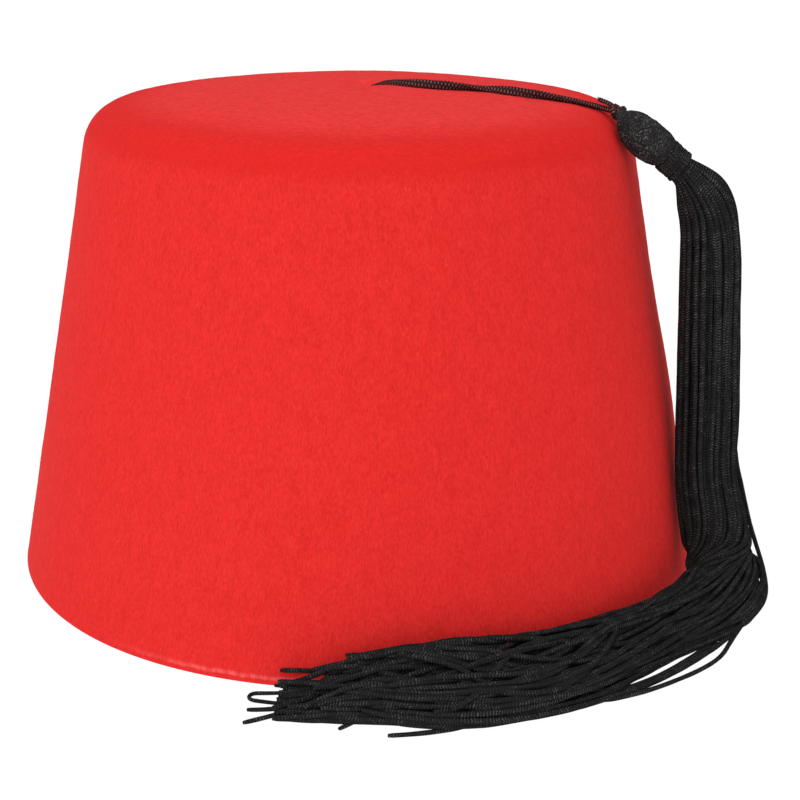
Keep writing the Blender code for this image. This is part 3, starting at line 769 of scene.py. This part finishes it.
def felt_profile():
    """The felt's section from the crown's middle over the edge, down, round the cut edge and up inside again.

    Each row is its radius and height, the way its surface faces, how far relief may move it, its segments."""
    rows = []
    foot = edge_point(crown_lean(), 0.0)[0]

    def crown_row(radius, inset, sign, free, segments):
        step = 0.0004
        slope = (crown_height(radius + step) - crown_height(abs(radius - step))) / (2 * step)
        size = math.hypot(slope, 1.0)
        rows.append((radius, crown_height(radius) - inset, -sign * slope / size, sign / size, free, segments))

    def segments_for(radius):
        for limit, count in CROWN_SEGMENTS:
            if radius < limit:
                return count
        return WALL_SEGMENTS

    for radius in np.arange(1, 46) / 46.0 * foot:
        crown_row(radius, 0.0, 1, 1.0, segments_for(radius))
    first, last = crown_lean(), math.pi / 2 - wall_lean()
    whole = WALL_SEGMENTS
    for lean in np.linspace(first, last, 12):
        rows.append((*edge_point(lean, 0.0), math.sin(lean), math.cos(lean), 1.0, whole))
    top = edge_point(last, 0.0)[1]
    facing = (math.cos(wall_lean()), math.sin(wall_lean()))
    for z in np.linspace(top, 0.0030, 90)[1:]:
        rows.append((wall_radius(z), z, *facing, 1.0, whole))
    foot_rows = ((2.5, 0.00, 0.8), (2.1, 0.00, 0.6), (1.8, 0.00, 0.5), (1.5, 0.00, 0.4), (1.2, 0.00, 0.3),
                 (0.8, 0.00, 0.2), (0.4, 0.02, 0.1), (0.12, 0.00, 0.0), (0.0, -0.12, 0.0))
    for height, out, free in foot_rows:
        z = height * MM
        rows.append((wall_radius(z) + out * MM, z, *facing, free, whole))
    inner_foot = wall_radius(0.0) - FELT_THICKNESS / math.cos(wall_lean())
    rows.append((inner_foot + 0.35 * MM, 0.0, 0.0, -1.0, 0.0, whole))
    rows.append((inner_foot + 0.08 * MM, 0.15 * MM, -1.0, 0.0, 0.0, whole))
    inner_top = edge_point(last, -FELT_THICKNESS)[1]
    for z in np.linspace(0.0008, inner_top, 34):
        radius = wall_radius(z) - FELT_THICKNESS / math.cos(wall_lean())
        rows.append((radius, z, -facing[0], -facing[1], 0.6, whole))
    for lean in np.linspace(last, first, 7)[1:]:
        rows.append((*edge_point(lean, -FELT_THICKNESS), -math.sin(lean), -math.cos(lean), 0.6, whole))
    for radius in np.arange(16, 0, -1) / 17.0 * foot:
        crown_row(radius, FELT_THICKNESS, -1, 0.5, segments_for(radius))
    return rows


def wall_swell(azimuth, z):
    """How far the wall stands out from its cone: a bulge beside the tassel, a foot that spreads a little at
    the left and a soft lip over the cut edge in front."""
    azimuth = np.degrees(azimuth)
    bulge = 1.00 * np.exp(-((azimuth - 2.0) / 34.0) ** 2 - ((z - 0.048) / 0.021) ** 2)
    foot = 0.70 * np.exp(-((azimuth + 128.0) / 26.0) ** 2 - (z / 0.011) ** 2)
    lip = np.interp(z, (0.0004, 0.0012, 0.0018, 0.0025), (0.12, 0.04, 0.13, 0.0))
    return (bulge + foot + lip * np.exp(-((azimuth + 92.0) / 24.0) ** 2)) * MM


def felt_relief(point, free):
    """How far the felt's surface stands out from its plain form here, in metres."""
    p = Vector(point)
    broad = 0.22 * noise.noise(p / 0.048)
    mid = 0.08 * noise.noise(p / 0.011 + Vector((7.0, 1.0, 3.0)))
    fine = 0.045 * noise.noise(p / 0.0031) + 0.040 * noise.noise(p / 0.0017 + Vector((3.0, 9.0, 5.0)))
    return (broad + mid + fine) * free * MM


def bridge_rings(inner, outer):
    """Faces between two rings, of which one may have twice as many points as the other."""
    a, b = len(inner), len(outer)
    quads, triangles = [], []
    if a == b:
        for k in range(a):
            j = (k + 1) % a
            quads.append((inner[k], outer[k], outer[j], inner[j]))
        return quads, triangles
    if a < b:
        for k in range(a):
            j = (k + 1) % a
            m = (2 * k + 1) % b
            n = (2 * k + 2) % b
            triangles.append((inner[k], outer[2 * k], outer[m]))
            triangles.append((inner[k], outer[m], inner[j]))
            triangles.append((inner[j], outer[m], outer[n]))
        return quads, triangles
    _, flipped = bridge_rings(outer, inner)
    return quads, [(t[0], t[2], t[1]) for t in flipped]


def felt_mesh():
    profile = felt_profile()
    points, rings = [], []
    for radius, z, face_r, face_z, free, segments in profile:
        ring = []
        for k in range(segments):
            turn = 2 * math.pi * k / segments
            c, s = math.cos(turn), math.sin(turn)
            inside = face_z < -0.5 or face_r < -0.5
            move = felt_relief((radius * c, radius * s, z + (0.5 if inside else 0.0)), free)
            move += 0.0 if inside else float(wall_swell(math.atan2(s, c), z))
            r = radius + face_r * move
            ring.append(len(points))
            points.append((r * c, r * s, max(0.0, z + face_z * move)))
        rings.append(ring)
    quads, triangles = [], []
    for inner, outer in zip(rings, rings[1:]):
        more_quads, more_triangles = bridge_rings(inner, outer)
        quads += more_quads
        triangles += more_triangles
    top = crown_height(0.0)
    for ring, height, flip in ((rings[0], top, False), (rings[-1], top - FELT_THICKNESS, True)):
        hub = len(points)
        points.append((0.0, 0.0, height))
        for k in range(len(ring)):
            face = (hub, ring[k], ring[(k + 1) % len(ring)])
            triangles.append(face[::-1] if flip else face)
    return mesh_of("felt_shell", np.array(points), np.array(quads), np.array(triangles))


def make_felt():
    """The cap, with the cut that the cord comes up through."""
    felt = add_piece("felt_shell", felt_mesh(), felt_material(), ["felt_cap"])
    ways = np.linspace(0, (HOLE_POINTS - 1) / (len(CORD_LINE) - 1), 24)
    line, across, through = cord_frames(ways)
    turns = turns_round(20)
    wide = (CORD_HALF_WIDE + SLIT_SLACK_WIDE) * np.cos(turns)
    thin = (CORD_HALF_THIN + SLIT_SLACK_THIN) * np.sin(turns)
    rings = flat_rings(line, wide[None, :], across, thin[None, :], through)
    cutter = bpy.data.objects.new("cutter", rings_mesh("cutter", [(rings, turns, 1.0, ways)]))
    bpy.context.scene.collection.objects.link(cutter)
    cut = felt.modifiers.new("cord_slit", "BOOLEAN")
    cut.operation = "DIFFERENCE"
    cut.solver = "EXACT"
    cut.object = cutter
    cut_felt = bpy.data.meshes.new_from_object(felt.evaluated_get(bpy.context.evaluated_depsgraph_get()))
    felt.modifiers.clear()
    plain = felt.data
    felt.data = cut_felt
    felt.data.name = "felt_shell"
    bpy.data.meshes.remove(plain)
    bpy.data.objects.remove(cutter, do_unlink=True)


def make_fuzz():
    """Loose fibres that lie on the felt, most of them combed down the wall."""
    foot = edge_point(crown_lean(), 0.0)[0]
    points, faces = [], []
    for k in range(FIBRES):
        turn = rng.uniform(0, 2 * math.pi)
        out = np.array([math.cos(turn), math.sin(turn), 0.0])
        if k % 4:
            z = WALL_HEIGHT * rng.uniform(0.02, 0.93)
            place, face = out * wall_radius(z), out * math.cos(wall_lean())
            place[2], face[2] = z, math.sin(wall_lean())
            comb = np.array([0.0, 0.0, -1.0]) + rng.normal(0, 0.5, 3)
        elif k % 16:
            radius = foot * math.sqrt(rng.uniform(0.002, 1.0))
            place, face = out * radius, np.array([0.0, 0.0, 1.0])
            place[2] = crown_height(radius)
            comb = rng.normal(0, 1.0, 3)
        else:
            lean = rng.uniform(crown_lean(), math.pi / 2 - wall_lean())
            radius, z = edge_point(lean, 0.0)
            place, face = out * radius, out * math.sin(lean)
            place[2], face[2] = z, math.cos(lean)
            comb = np.array([0.0, 0.0, -0.7]) + rng.normal(0, 0.7, 3)
        comb = comb - face * comb.dot(face)
        comb /= math.sqrt(comb.dot(comb))
        lift = rng.uniform(0.05, 0.42)
        way = comb * math.cos(lift) + face * math.sin(lift)
        length = rng.uniform(0.25, 0.85) * MM
        thick = rng.uniform(0.016, 0.030) * MM
        side = np.cross(way, face)
        side /= math.sqrt(side.dot(side))
        up = np.cross(side, way)
        stand = felt_relief(place, 1.0) + float(wall_swell(math.atan2(out[1], out[0]), place[2]))
        root = place + face * (stand - 0.00006)
        base = len(points)
        points += [root + side * thick, root - side * thick * 0.5 + up * thick * 0.87,
                   root - side * thick * 0.5 - up * thick * 0.87, root + way * length]
        faces += [(base, base + 1, base + 3), (base + 1, base + 2, base + 3), (base + 2, base, base + 3),
                  (base + 2, base + 1, base)]
    points = np.array(points)
    points[:, 2] = np.maximum(points[:, 2], 0.00002)
    mesh = mesh_of("felt_fuzz", points, np.zeros((0, 4), int), np.array(faces))
    add_piece("felt_fuzz", mesh, fuzz_material())


# Cord


def cord_frames(ways):
    """The cord's line, and the directions of its width and its thickness, by the share of its way."""
    points = smooth_curve(CORD_LINE, ways) * MM
    rows = np.array(CORD_TURNS)
    turn = np.radians(np.interp(points[:, 0] / MM, rows[:, 0], rows[:, 1]))[:, None]
    points[:, 2] += WALL_HEIGHT
    tangents = unit_rows(np.gradient(points, axis=0))
    level = unit_rows(np.cross((0.0, 0.0, 1.0), tangents))
    raised = np.cross(tangents, level)
    return points, level * np.cos(turn) + raised * np.sin(turn), raised * np.cos(turn) - level * np.sin(turn)


def stitches(columns, rows, slant=1.1):
    """How high V stitches stand at these columns and rows, from 0 to 1."""
    across = np.abs(columns % 1.0 - 0.5)
    wave = (rows + slant * across) % 1.0
    return (0.5 - 0.5 * np.cos(2 * np.pi * wave)) * np.cos(np.pi * across * 0.8)


def relieved_tube(points, radii, sides, spacing, pitch, columns, depth):
    """A round thread with V stitches raised on it, along a polyline."""
    points = np.asarray(points)
    along = lengths_along(points)
    count = max(4, int(along[-1] / spacing))
    at = np.linspace(0, along[-1], count)
    line = read_at(points, along, at)
    thick = np.interp(at, along, np.broadcast_to(radii, len(points)))
    turn = turns_round(sides)
    column = turn / (2 * np.pi) * columns
    knit = stitches(column[None, :], at[:, None] / pitch)
    radius = thick[:, None] * (1 + depth * (knit - 0.5))
    return round_rings(line, radius, turn), column, columns, at / pitch


def make_cord(finish):
    count = 620
    line, across, through = cord_frames(np.linspace(0, 1, count))
    along = lengths_along(line)
    sides, columns = 40, 6
    turn = turns_round(sides)
    column = turn / (2 * np.pi) * columns
    rows = along / 0.00090
    knit = stitches(column[None, :], rows[:, None], 1.0)
    c, s = np.cos(turn), np.sin(turn)
    shape = np.abs(c) ** 0.85 * np.sign(c), np.abs(s) ** 0.85 * np.sign(s)
    swell = 1 + 0.05 * np.sin(along / 0.0031) + 0.03 * np.sin(along / 0.0013 + 1.0)
    wide = (CORD_HALF_WIDE * swell[:, None] + 0.00014 * (knit - 0.5)) * shape[0]
    thin = (CORD_HALF_THIN * swell[:, None] + 0.00020 * (knit - 0.5)) * shape[1]
    rings = flat_rings(line, wide, across, thin, through)
    mesh = rings_mesh("hanger_braid", [(rings, column, columns, rows)])
    return add_piece("hanger_braid", mesh, finish, ["hanger_cord"]), line


def trefoil(place, axis, reach, rise, count=220):
    """The line of a plain knot round an axis."""
    t = np.linspace(0, 2 * np.pi, count)
    local = np.stack([np.sin(t) + 2 * np.sin(2 * t), np.cos(t) - 2 * np.cos(2 * t), -np.sin(3 * t)], axis=1)
    local *= (reach / 3.0, reach / 3.0, rise)
    turn = np.array(Vector(axis).to_track_quat("Z", "Y").to_matrix())
    return local @ turn.T + np.asarray(place)


def make_head_knot(finish):
    start, ahead = head_points([0.0, BULB_ROWS[2][0]])
    thread = 0.00074
    line = trefoil(start, ahead - start, HEAD_KNOT_DIAMETER / 2 - thread * 0.9, 0.00115)
    runs = [relieved_tube(line, thread, 16, THREAD_STEP, THREAD_ROW, 4, 0.24)]
    axis = np.array(Vector(ahead - start).to_track_quat("Z", "Y").to_matrix())
    for share, reach in ((0.16, 0.00120), (0.62, 0.00112)):
        turns = np.linspace(0, 2 * np.pi * 1.04, 70)
        ring = np.stack([np.cos(turns), np.sin(turns), turns * 0.05], axis=1) * reach
        middle = start + (ahead - start) * share
        ring = ring @ axis.T + middle
        runs.append(relieved_tube(ring, thread * 0.86, 14, THREAD_STEP, THREAD_ROW, 4, 0.24))
    return add_piece("knotted_cord", rings_mesh("knotted_cord", runs), finish, ["head_knot"])


def make_cord_tail(finish):
    """The short cut end of the cord that lies back from the knot, with its frayed tip."""
    points = np.array([(65.2, -21.6, 124.6), (64.4, -20.6, 125.5), (63.2, -19.4, 126.2), (62.0, -18.3, 126.6),
                       (60.9, -17.6, 127.0)]) * MM
    line = smooth_curve(points, np.linspace(0, 1, 60))
    radii = np.interp(np.linspace(0, 1, 60), (0, 0.5, 0.92, 1.0), (0.00066, 0.00064, 0.00060, 0.00048))
    runs = [relieved_tube(line, radii, 14, THREAD_STEP, THREAD_ROW, 4, 0.3)]
    end, tangent = line[-1], line[-1] - line[-4]
    tangent /= np.linalg.norm(tangent)
    for _ in range(14):
        way = tangent + rng.normal(0, 0.25, 3)
        root = end - tangent * 0.0003 + rng.normal(0, 0.00020, 3)
        hair = np.stack([root, root + way * 0.0003, root + way * rng.uniform(0.0004, 0.0008)])
        runs.append(relieved_tube(hair, np.array([0.00007, 0.00006, 0.00003]), 5, 0.0002, THREAD_ROW, 1, 0.0))
    return add_piece("cord_tail", rings_mesh("cord_tail", runs), finish)


def make_stop_knot(finish):
    route = cord_frames(np.array([0.0, 0.02]))[0]
    away = (route[0] - route[1]) * (1, 1, 0)
    away /= np.linalg.norm(away)
    low, high = (np.array(corner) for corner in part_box("stop_knot"))
    place = (low + high) / 2
    thread = 0.00078
    line = trefoil(place, (0.0, 0.0, 1.0), STOP_KNOT_DIAMETER / 2 - thread, STOP_KNOT_HEIGHT / 2 - thread)
    runs = [relieved_tube(line, thread, 14, THREAD_STEP_INSIDE, THREAD_ROW, 4, 0.24)]
    link = smooth_curve([route[0], route[0] + away * 0.0012 - (0, 0, 0.0006), place], np.linspace(0, 1, 30))
    runs.append(relieved_tube(link, thread, 14, THREAD_STEP_INSIDE, THREAD_ROW, 4, 0.24))
    return add_piece("inner_knot", rings_mesh("inner_knot", runs), finish, ["stop_knot"])


# Tassel head


def make_head(finish):
    """The bulb of knitted thread, with the neck under the band."""
    table = np.array(BULB_ROWS)
    ways = np.linspace(table[0, 0], table[-1, 0], 230)
    line = head_points(ways)
    share = np.interp(ways, table[:, 0], np.arange(len(table))) / (len(table) - 1)
    thick = smooth_curve(table[:, 1:], share)[:, 0] * BULB_DIAMETER / 2
    sides, columns = 152, 38
    side, up = frames_along(line)
    turn = turns_round(sides)
    along = lengths_along(line)
    rings = np.zeros((len(line), sides, 3))
    column = np.zeros((len(line), sides))
    row = np.zeros((len(line), sides))
    for k in range(len(line)):
        for j in range(sides):
            out = side[k] * math.cos(turn[j]) + up[k] * math.sin(turn[j])
            p = Vector(line[k] + out * thick[k])
            row[k, j] = along[k] / 0.00072 + 1.3 * noise.noise(p / 0.0030) + 0.7 * noise.noise(p / 0.0013)
            warp = 1.5 * noise.noise(p / 0.0028 + Vector((5, 5, 5))) + 0.7 * noise.noise(p / 0.0012)
            column[k, j] = turn[j] / (2 * math.pi) * columns + warp
            knit = math.cos(2 * math.pi * row[k, j]) * math.cos(math.pi * column[k, j])
            lump = 0.20 * noise.noise(p / 0.0034) + 0.12 * noise.noise(p / 0.0015)
            rings[k, j] = line[k] + out * (thick[k] + (0.035 * knit + lump) * MM * min(1.0, thick[k] / 0.003))
    mesh = rings_mesh("knitted_head", [(rings, column, columns, row)])
    return add_piece("knitted_head", mesh, finish)


def make_band(finish):
    """The thread wound round the neck, flattened by its own pull."""
    share = np.linspace(0, 1, 760)
    ways = BAND_START + (BAND_END - BAND_START) * (0.09 + 0.82 * share)
    middle = head_points(ways)
    ahead = unit_rows(np.gradient(middle, axis=0))
    side, up = frames_along(middle)
    turns = 2 * np.pi * BAND_WRAPS * share
    out = side * np.cos(turns)[:, None] + up * np.sin(turns)[:, None]
    band_length = np.linalg.norm(np.diff(middle, axis=0), axis=1).sum()
    half_along = 0.56 * band_length / BAND_WRAPS
    uneven = 0.00005 * np.sin(share * 9.0) + 0.00006 * np.sin(share * 23.0 + 1.0)
    radius = NECK_DIAMETER / 2 - 0.00034 + uneven
    ends = np.minimum(1.0, np.minimum(share, 1 - share) * 30 + 0.4)[:, None]
    line = middle + out * radius[:, None]
    sides, columns = 24, 6
    turn = turns_round(sides)
    column = turn / (2 * np.pi) * columns
    rows = lengths_along(line) / 0.00078
    knit = stitches(column[None, :], rows[:, None])
    c, s = np.cos(turn), np.sin(turn)
    high = (0.00044 * ends + 0.00013 * (knit - 0.5)) * (np.abs(c) ** 0.8 * np.sign(c))
    wide = (half_along * ends + 0.00008 * (knit - 0.5)) * (np.abs(s) ** 0.9 * np.sign(s))
    rings = flat_rings(line, high, out, wide, ahead)
    mesh = rings_mesh("wound_band", [(rings, column, columns, rows)])
    return add_piece("wound_band", mesh, finish, ["neck_band"])


# Strands


def seat_grid(count):
    """Places spread evenly over a disc."""
    k = np.arange(count) + 0.5
    radius = 0.955 * np.sqrt(k / count)
    turn = k * math.pi * (3 - math.sqrt(5))
    return np.stack([radius * np.cos(turn), radius * np.sin(turn)], axis=1)


def wandering(at, seat, amounts):
    """A strand's place in the bundle at each section: its seat where it lies, slow waves of its own and the
    turn that the bundle makes where it folds. Many of the strands change their seat as they lie."""
    other = rng.uniform(-0.74, 0.74, 2)
    first = rng.uniform(13.2, 18.2)
    length = rng.uniform(1.1, 2.6)
    chance = 0.45
    if seat[1] < -0.15:
        other = -np.sign(seat[0]) * rng.uniform(0.35, 0.95), rng.uniform(-0.95, -0.30)
        chance = 0.78
    change = smooth_step(first, first + length, at) * (rng.random() < chance) * (amounts > 0.9)
    u = seat[0] + (other[0] - seat[0]) * change
    v = seat[1] + (other[1] - seat[1]) * change
    lying = smooth_step(11.0, 14.0, at) + 0.6 * smooth_step(14.5, 18.0, at)
    hanging = smooth_step(1.0, 4.0, at)
    for length, size in ((11.0, 0.16), (5.2, 0.10), (2.9, 0.05)):
        phase = rng.uniform(0, 2 * np.pi, 2)
        size = size * amounts * (0.35 * hanging + 1.25 * lying)
        u = u + size * np.sin(2 * np.pi * at / length + phase[0])
        v = v + size * np.sin(2 * np.pi * at / length + phase[1])
    reach = np.hypot(u, v)
    limit = np.minimum(1.0, 0.97 / np.maximum(reach, 1e-6))
    u, v = u * limit, v * limit
    turn = math.radians(FOLD_TURN) * (1 - smooth_step(*FOLD_SECTIONS, at))
    u, v = u * np.cos(turn) - v * np.sin(turn), u * np.sin(turn) + v * np.cos(turn)
    fill = np.interp(at, [row[0] for row in FILL_ROWS], [row[1] for row in FILL_ROWS])
    return np.where(u > 0, u * fill - (1 - fill) * 0.4, u - (1 - fill) * 0.4), v


def mm_point(row):
    azimuth, radius, height = row
    return around(azimuth, radius * MM, height * MM)


def planned_strands(sections):
    """The line that each strand is meant to follow, before the strands make room for each other."""
    lines = []
    seats = seat_grid(STRAND_COUNT)
    taken = []
    for stray in STRAYS:
        free = [k for k in range(len(seats)) if k not in taken]
        near = min(free, key=lambda k: math.hypot(*(seats[k] - stray["seat"])))
        taken.append(near)
    for k in range(len(seats)):
        if k in taken:
            lines.append(stray_line(sections, seats[k], STRAYS[taken.index(k)]))
            continue
        high = min(max((0.20 - seats[k][1]) / 1.0, 0.0), 1.0)
        end = 20.45 - 2.2 * high * rng.uniform(0.35, 1.0) - 1.0 * rng.random() ** 3
        at = np.linspace(0, end, 360)
        lines.append(in_bundle(sections, at, *wandering(at, seats[k], 1.0)))
    sizes = rng.uniform(0.95, 1.05, len(seats))
    sizes[taken] = [stray.get("thick", STRAY_THICKNESS) for stray in STRAYS]
    looped = [taken[k] for k in LOOPED_STRAYS]
    sizes[looped] = LOOP_THICKNESS
    return lines, sizes, looped


def stray_line(sections, seat, stray):
    first = np.linspace(0, stray["leave"], 150)
    start = evenly(in_bundle(sections, first, *wandering(first, seat, 0.5)), 0.006)
    parts = [start, np.array([mm_point(row) for row in stray["points"]])]
    if "join" in stray:
        last = np.linspace(stray["join"], stray["end"], 150)
        places = wandering(last, stray.get("back", seat), 0.5)
        parts.append(evenly(in_bundle(sections, last, *places), 0.006))
    rows = np.concatenate(parts)
    return smooth_curve(rows, np.linspace(0, 1, 8 * len(rows)))


HALF_NEIGHBOURS = (
    (0, 0, 0), (1, 0, 0), (1, 1, 0), (0, 1, 0), (-1, 1, 0),
    (0, 0, 1), (1, 0, 1), (1, 1, 1), (0, 1, 1), (-1, 1, 1), (-1, 0, 1), (-1, -1, 1), (0, -1, 1), (1, -1, 1),
)


def close_pairs(points, reach):
    """Pairs of points that lie within reach of each other, found on a grid of cells."""
    cells = np.floor(points / reach).astype(np.int64)
    cells -= cells.min(axis=0) - 1
    span = cells.max(axis=0) + 2
    keys = (cells[:, 0] * span[1] + cells[:, 1]) * span[2] + cells[:, 2]
    order = np.argsort(keys, kind="stable")
    ranked = keys[order]
    found = []
    for dx, dy, dz in HALF_NEIGHBOURS:
        wanted = ranked + (dx * span[1] + dy) * span[2] + dz
        first = np.searchsorted(ranked, wanted, "left")
        count = np.searchsorted(ranked, wanted, "right") - first
        a = np.repeat(np.arange(len(ranked)), count)
        b = np.arange(len(a)) - np.repeat(np.cumsum(count) - count, count) + np.repeat(first, count)
        if (dx, dy, dz) == (0, 0, 0):
            a, b = a[a < b], b[a < b]
        found.append(np.stack([order[a], order[b]]))
    a, b = np.concatenate(found, axis=1)
    near = ((points[a] - points[b]) ** 2).sum(axis=1) < reach**2
    return a[near], b[near]


def push_apart(points, a, b, amounts, share, moves):
    """Adds to moves what takes each pair apart along its line by its share of amounts."""
    apart = points[b] - points[a]
    gap = np.sqrt((apart**2).sum(axis=1)) + 1e-9
    short = amounts(gap) * share / gap
    for k in range(3):
        push = short * apart[:, k] / 2
        moves[:, k] += np.bincount(b, push, len(points)) - np.bincount(a, push, len(points))


def strand_radius(way):
    """How thick a strand is this far from its root: pulled thin in the neck."""
    return STRAND_DIAMETER / 2 * (NECK_SQUEEZE + (1 - NECK_SQUEEZE) * smooth_step(0.0015, NECK_REACH, way))


def settle(lines, sizes):
    """The strands' lines once they have made room for each other and lie on the floor and along the wall."""
    lines = [evenly(line, STRAND_SPACING) for line in lines]
    counts = np.array([len(line) for line in lines])
    points = np.concatenate(lines)
    plan = points.copy()
    strand = np.repeat(np.arange(len(lines)), counts)
    starts = np.cumsum(counts) - counts
    rank = np.arange(len(points)) - starts[strand]
    way = rank * STRAND_SPACING
    thick = strand_radius(way) * sizes[strand]
    lying = smooth_step(0.030, 0.012, points[:, 2])
    radius = thick * (1 - (1 - LYING_SQUEEZE) * lying)
    held = rank < 3
    linked = np.flatnonzero(strand[1:] == strand[:-1])
    rest = np.linalg.norm(points[linked + 1] - points[linked], axis=1)
    inner = np.flatnonzero(strand[2:] == strand[:-2]) + 1
    lean = wall_lean()
    rounds = SETTLE_ROUNDS
    for turn in range(rounds):
        if turn % 6 == 0:
            a, b = close_pairs(points, STRAND_DIAMETER + 0.0005)
            other = (strand[a] != strand[b]) | (np.abs(rank[a] - rank[b]) > 4)
            a, b = a[other], b[other]
            wanted = radius[a] + radius[b]
        moves = np.zeros_like(points)
        push_apart(points, a, b, lambda gap: np.maximum(0.0, wanted - gap), 0.42, moves)
        push_apart(points, linked, linked + 1, lambda gap: rest - gap, 0.5, moves)
        middle = (points[inner - 1] + points[inner + 1]) / 2 - points[inner]
        moves[inner] += middle * 0.22
        pull = 0.030 * (1 - turn / rounds) + 0.009
        moves += (plan - points) * pull
        moves[:, 2] -= lying * 0.000006
        moves[held] = 0.0
        points = points + moves
        across = np.hypot(points[:, 0], points[:, 1])
        wall = (across - wall_radius(points[:, 2])) * math.cos(lean)
        wall -= wall_swell(np.arctan2(points[:, 1], points[:, 0]), points[:, 2])
        short = np.maximum(0.0, thick + 0.0001 - wall)
        grow = 1 + short * math.cos(lean) / across
        points[:, 0] *= grow
        points[:, 1] *= grow
        points[:, 2] = np.maximum(points[:, 2], thick * 1.13)
    return [points[start:start + count] for start, count in zip(starts, counts)]


def strand_rings(line, size, round_tip):
    """Rings of one strand, thinner towards its cut end and a little uneven along its way."""
    count = int(lengths_along(line)[-1] / RING_SPACING)
    fine = smooth_curve(line, np.linspace(0, 1, count))
    way = lengths_along(fine)
    phase = rng.uniform(0, 2 * np.pi, 2)
    uneven = 1 + 0.025 * np.sin(way / 0.0031 + phase[0]) + 0.02 * np.sin(way / 0.0012 + phase[1])
    radius = strand_radius(way) * size * uneven * 1.02
    if round_tip:
        radius *= 1 - 0.08 * smooth_step(way[-1] - 0.012, way[-1] - 0.002, way)
        radius[-2:] *= (0.97, 0.76)
    rings = round_rings(fine, radius[:, None], turns_round(STRAND_SIDES))
    rings[:, :, 2] = np.maximum(rings[:, :, 2], 0.00001)
    columns = np.arange(STRAND_SIDES) * 2 / STRAND_SIDES + rng.random()
    return rings, columns, 2, way / STITCH_PITCH


def make_strands(finish):
    lines, sizes, looped = planned_strands(bundle_sections())
    lines = settle(lines, sizes)
    first, second = looped
    lines[first], lines[second] = joined_loop(lines[first], lines[second]), None
    strands = [(lines[k], sizes[k], k != first) for k in range(len(lines)) if lines[k] is not None]
    pieces = 4
    for number in range(pieces):
        runs = [strand_rings(*strand) for strand in strands[number::pieces]]
        mesh = rings_mesh(f"strands_{number + 1}", runs)
        add_piece(f"strands_{number + 1}", mesh, finish, ["tassel"])


def joined_loop(first, second):
    """Two strands as one that turns back at its end."""
    a, b = first[-1], second[-1]
    ahead = (first[-1] - first[-3]) + (second[-1] - second[-3])
    ahead /= np.linalg.norm(ahead)
    width = np.linalg.norm(b - a)
    bend = []
    for turn in np.linspace(0, math.pi, 7)[1:-1]:
        bend.append((a + b) / 2 + (a - b) / 2 * math.cos(turn) + ahead * math.sin(turn) * width * 0.55)
    return np.concatenate([first, np.array(bend), second[::-1]])


add_camera()
add_studio()
# Each finish's second colour is the painted highlight on its stitch tops.
strand_finish = thread_material("black_strands", (0.0124, 0.0124, 0.0125), (0.172, 0.175, 0.177), 0.00016)
cord_finish = thread_material("black_cord", (0.0290, 0.0130, 0.0130), (0.230, 0.105, 0.102), 0.00014, "dots")
band_finish = thread_material("black_band", (0.0125, 0.0122, 0.0124), (0.150, 0.154, 0.158), 0.00012)
knit_finish = thread_material("black_knit", (0.0165, 0.0155, 0.0154), (0.155, 0.155, 0.156), 0.00012, "grain")
hanger, hanger_line = make_cord(cord_finish)
make_felt()
make_fuzz()
make_head_knot(cord_finish)
make_cord_tail(cord_finish)
make_stop_knot(cord_finish)
make_head(knit_finish)
make_band(band_finish)
make_strands(strand_finish)
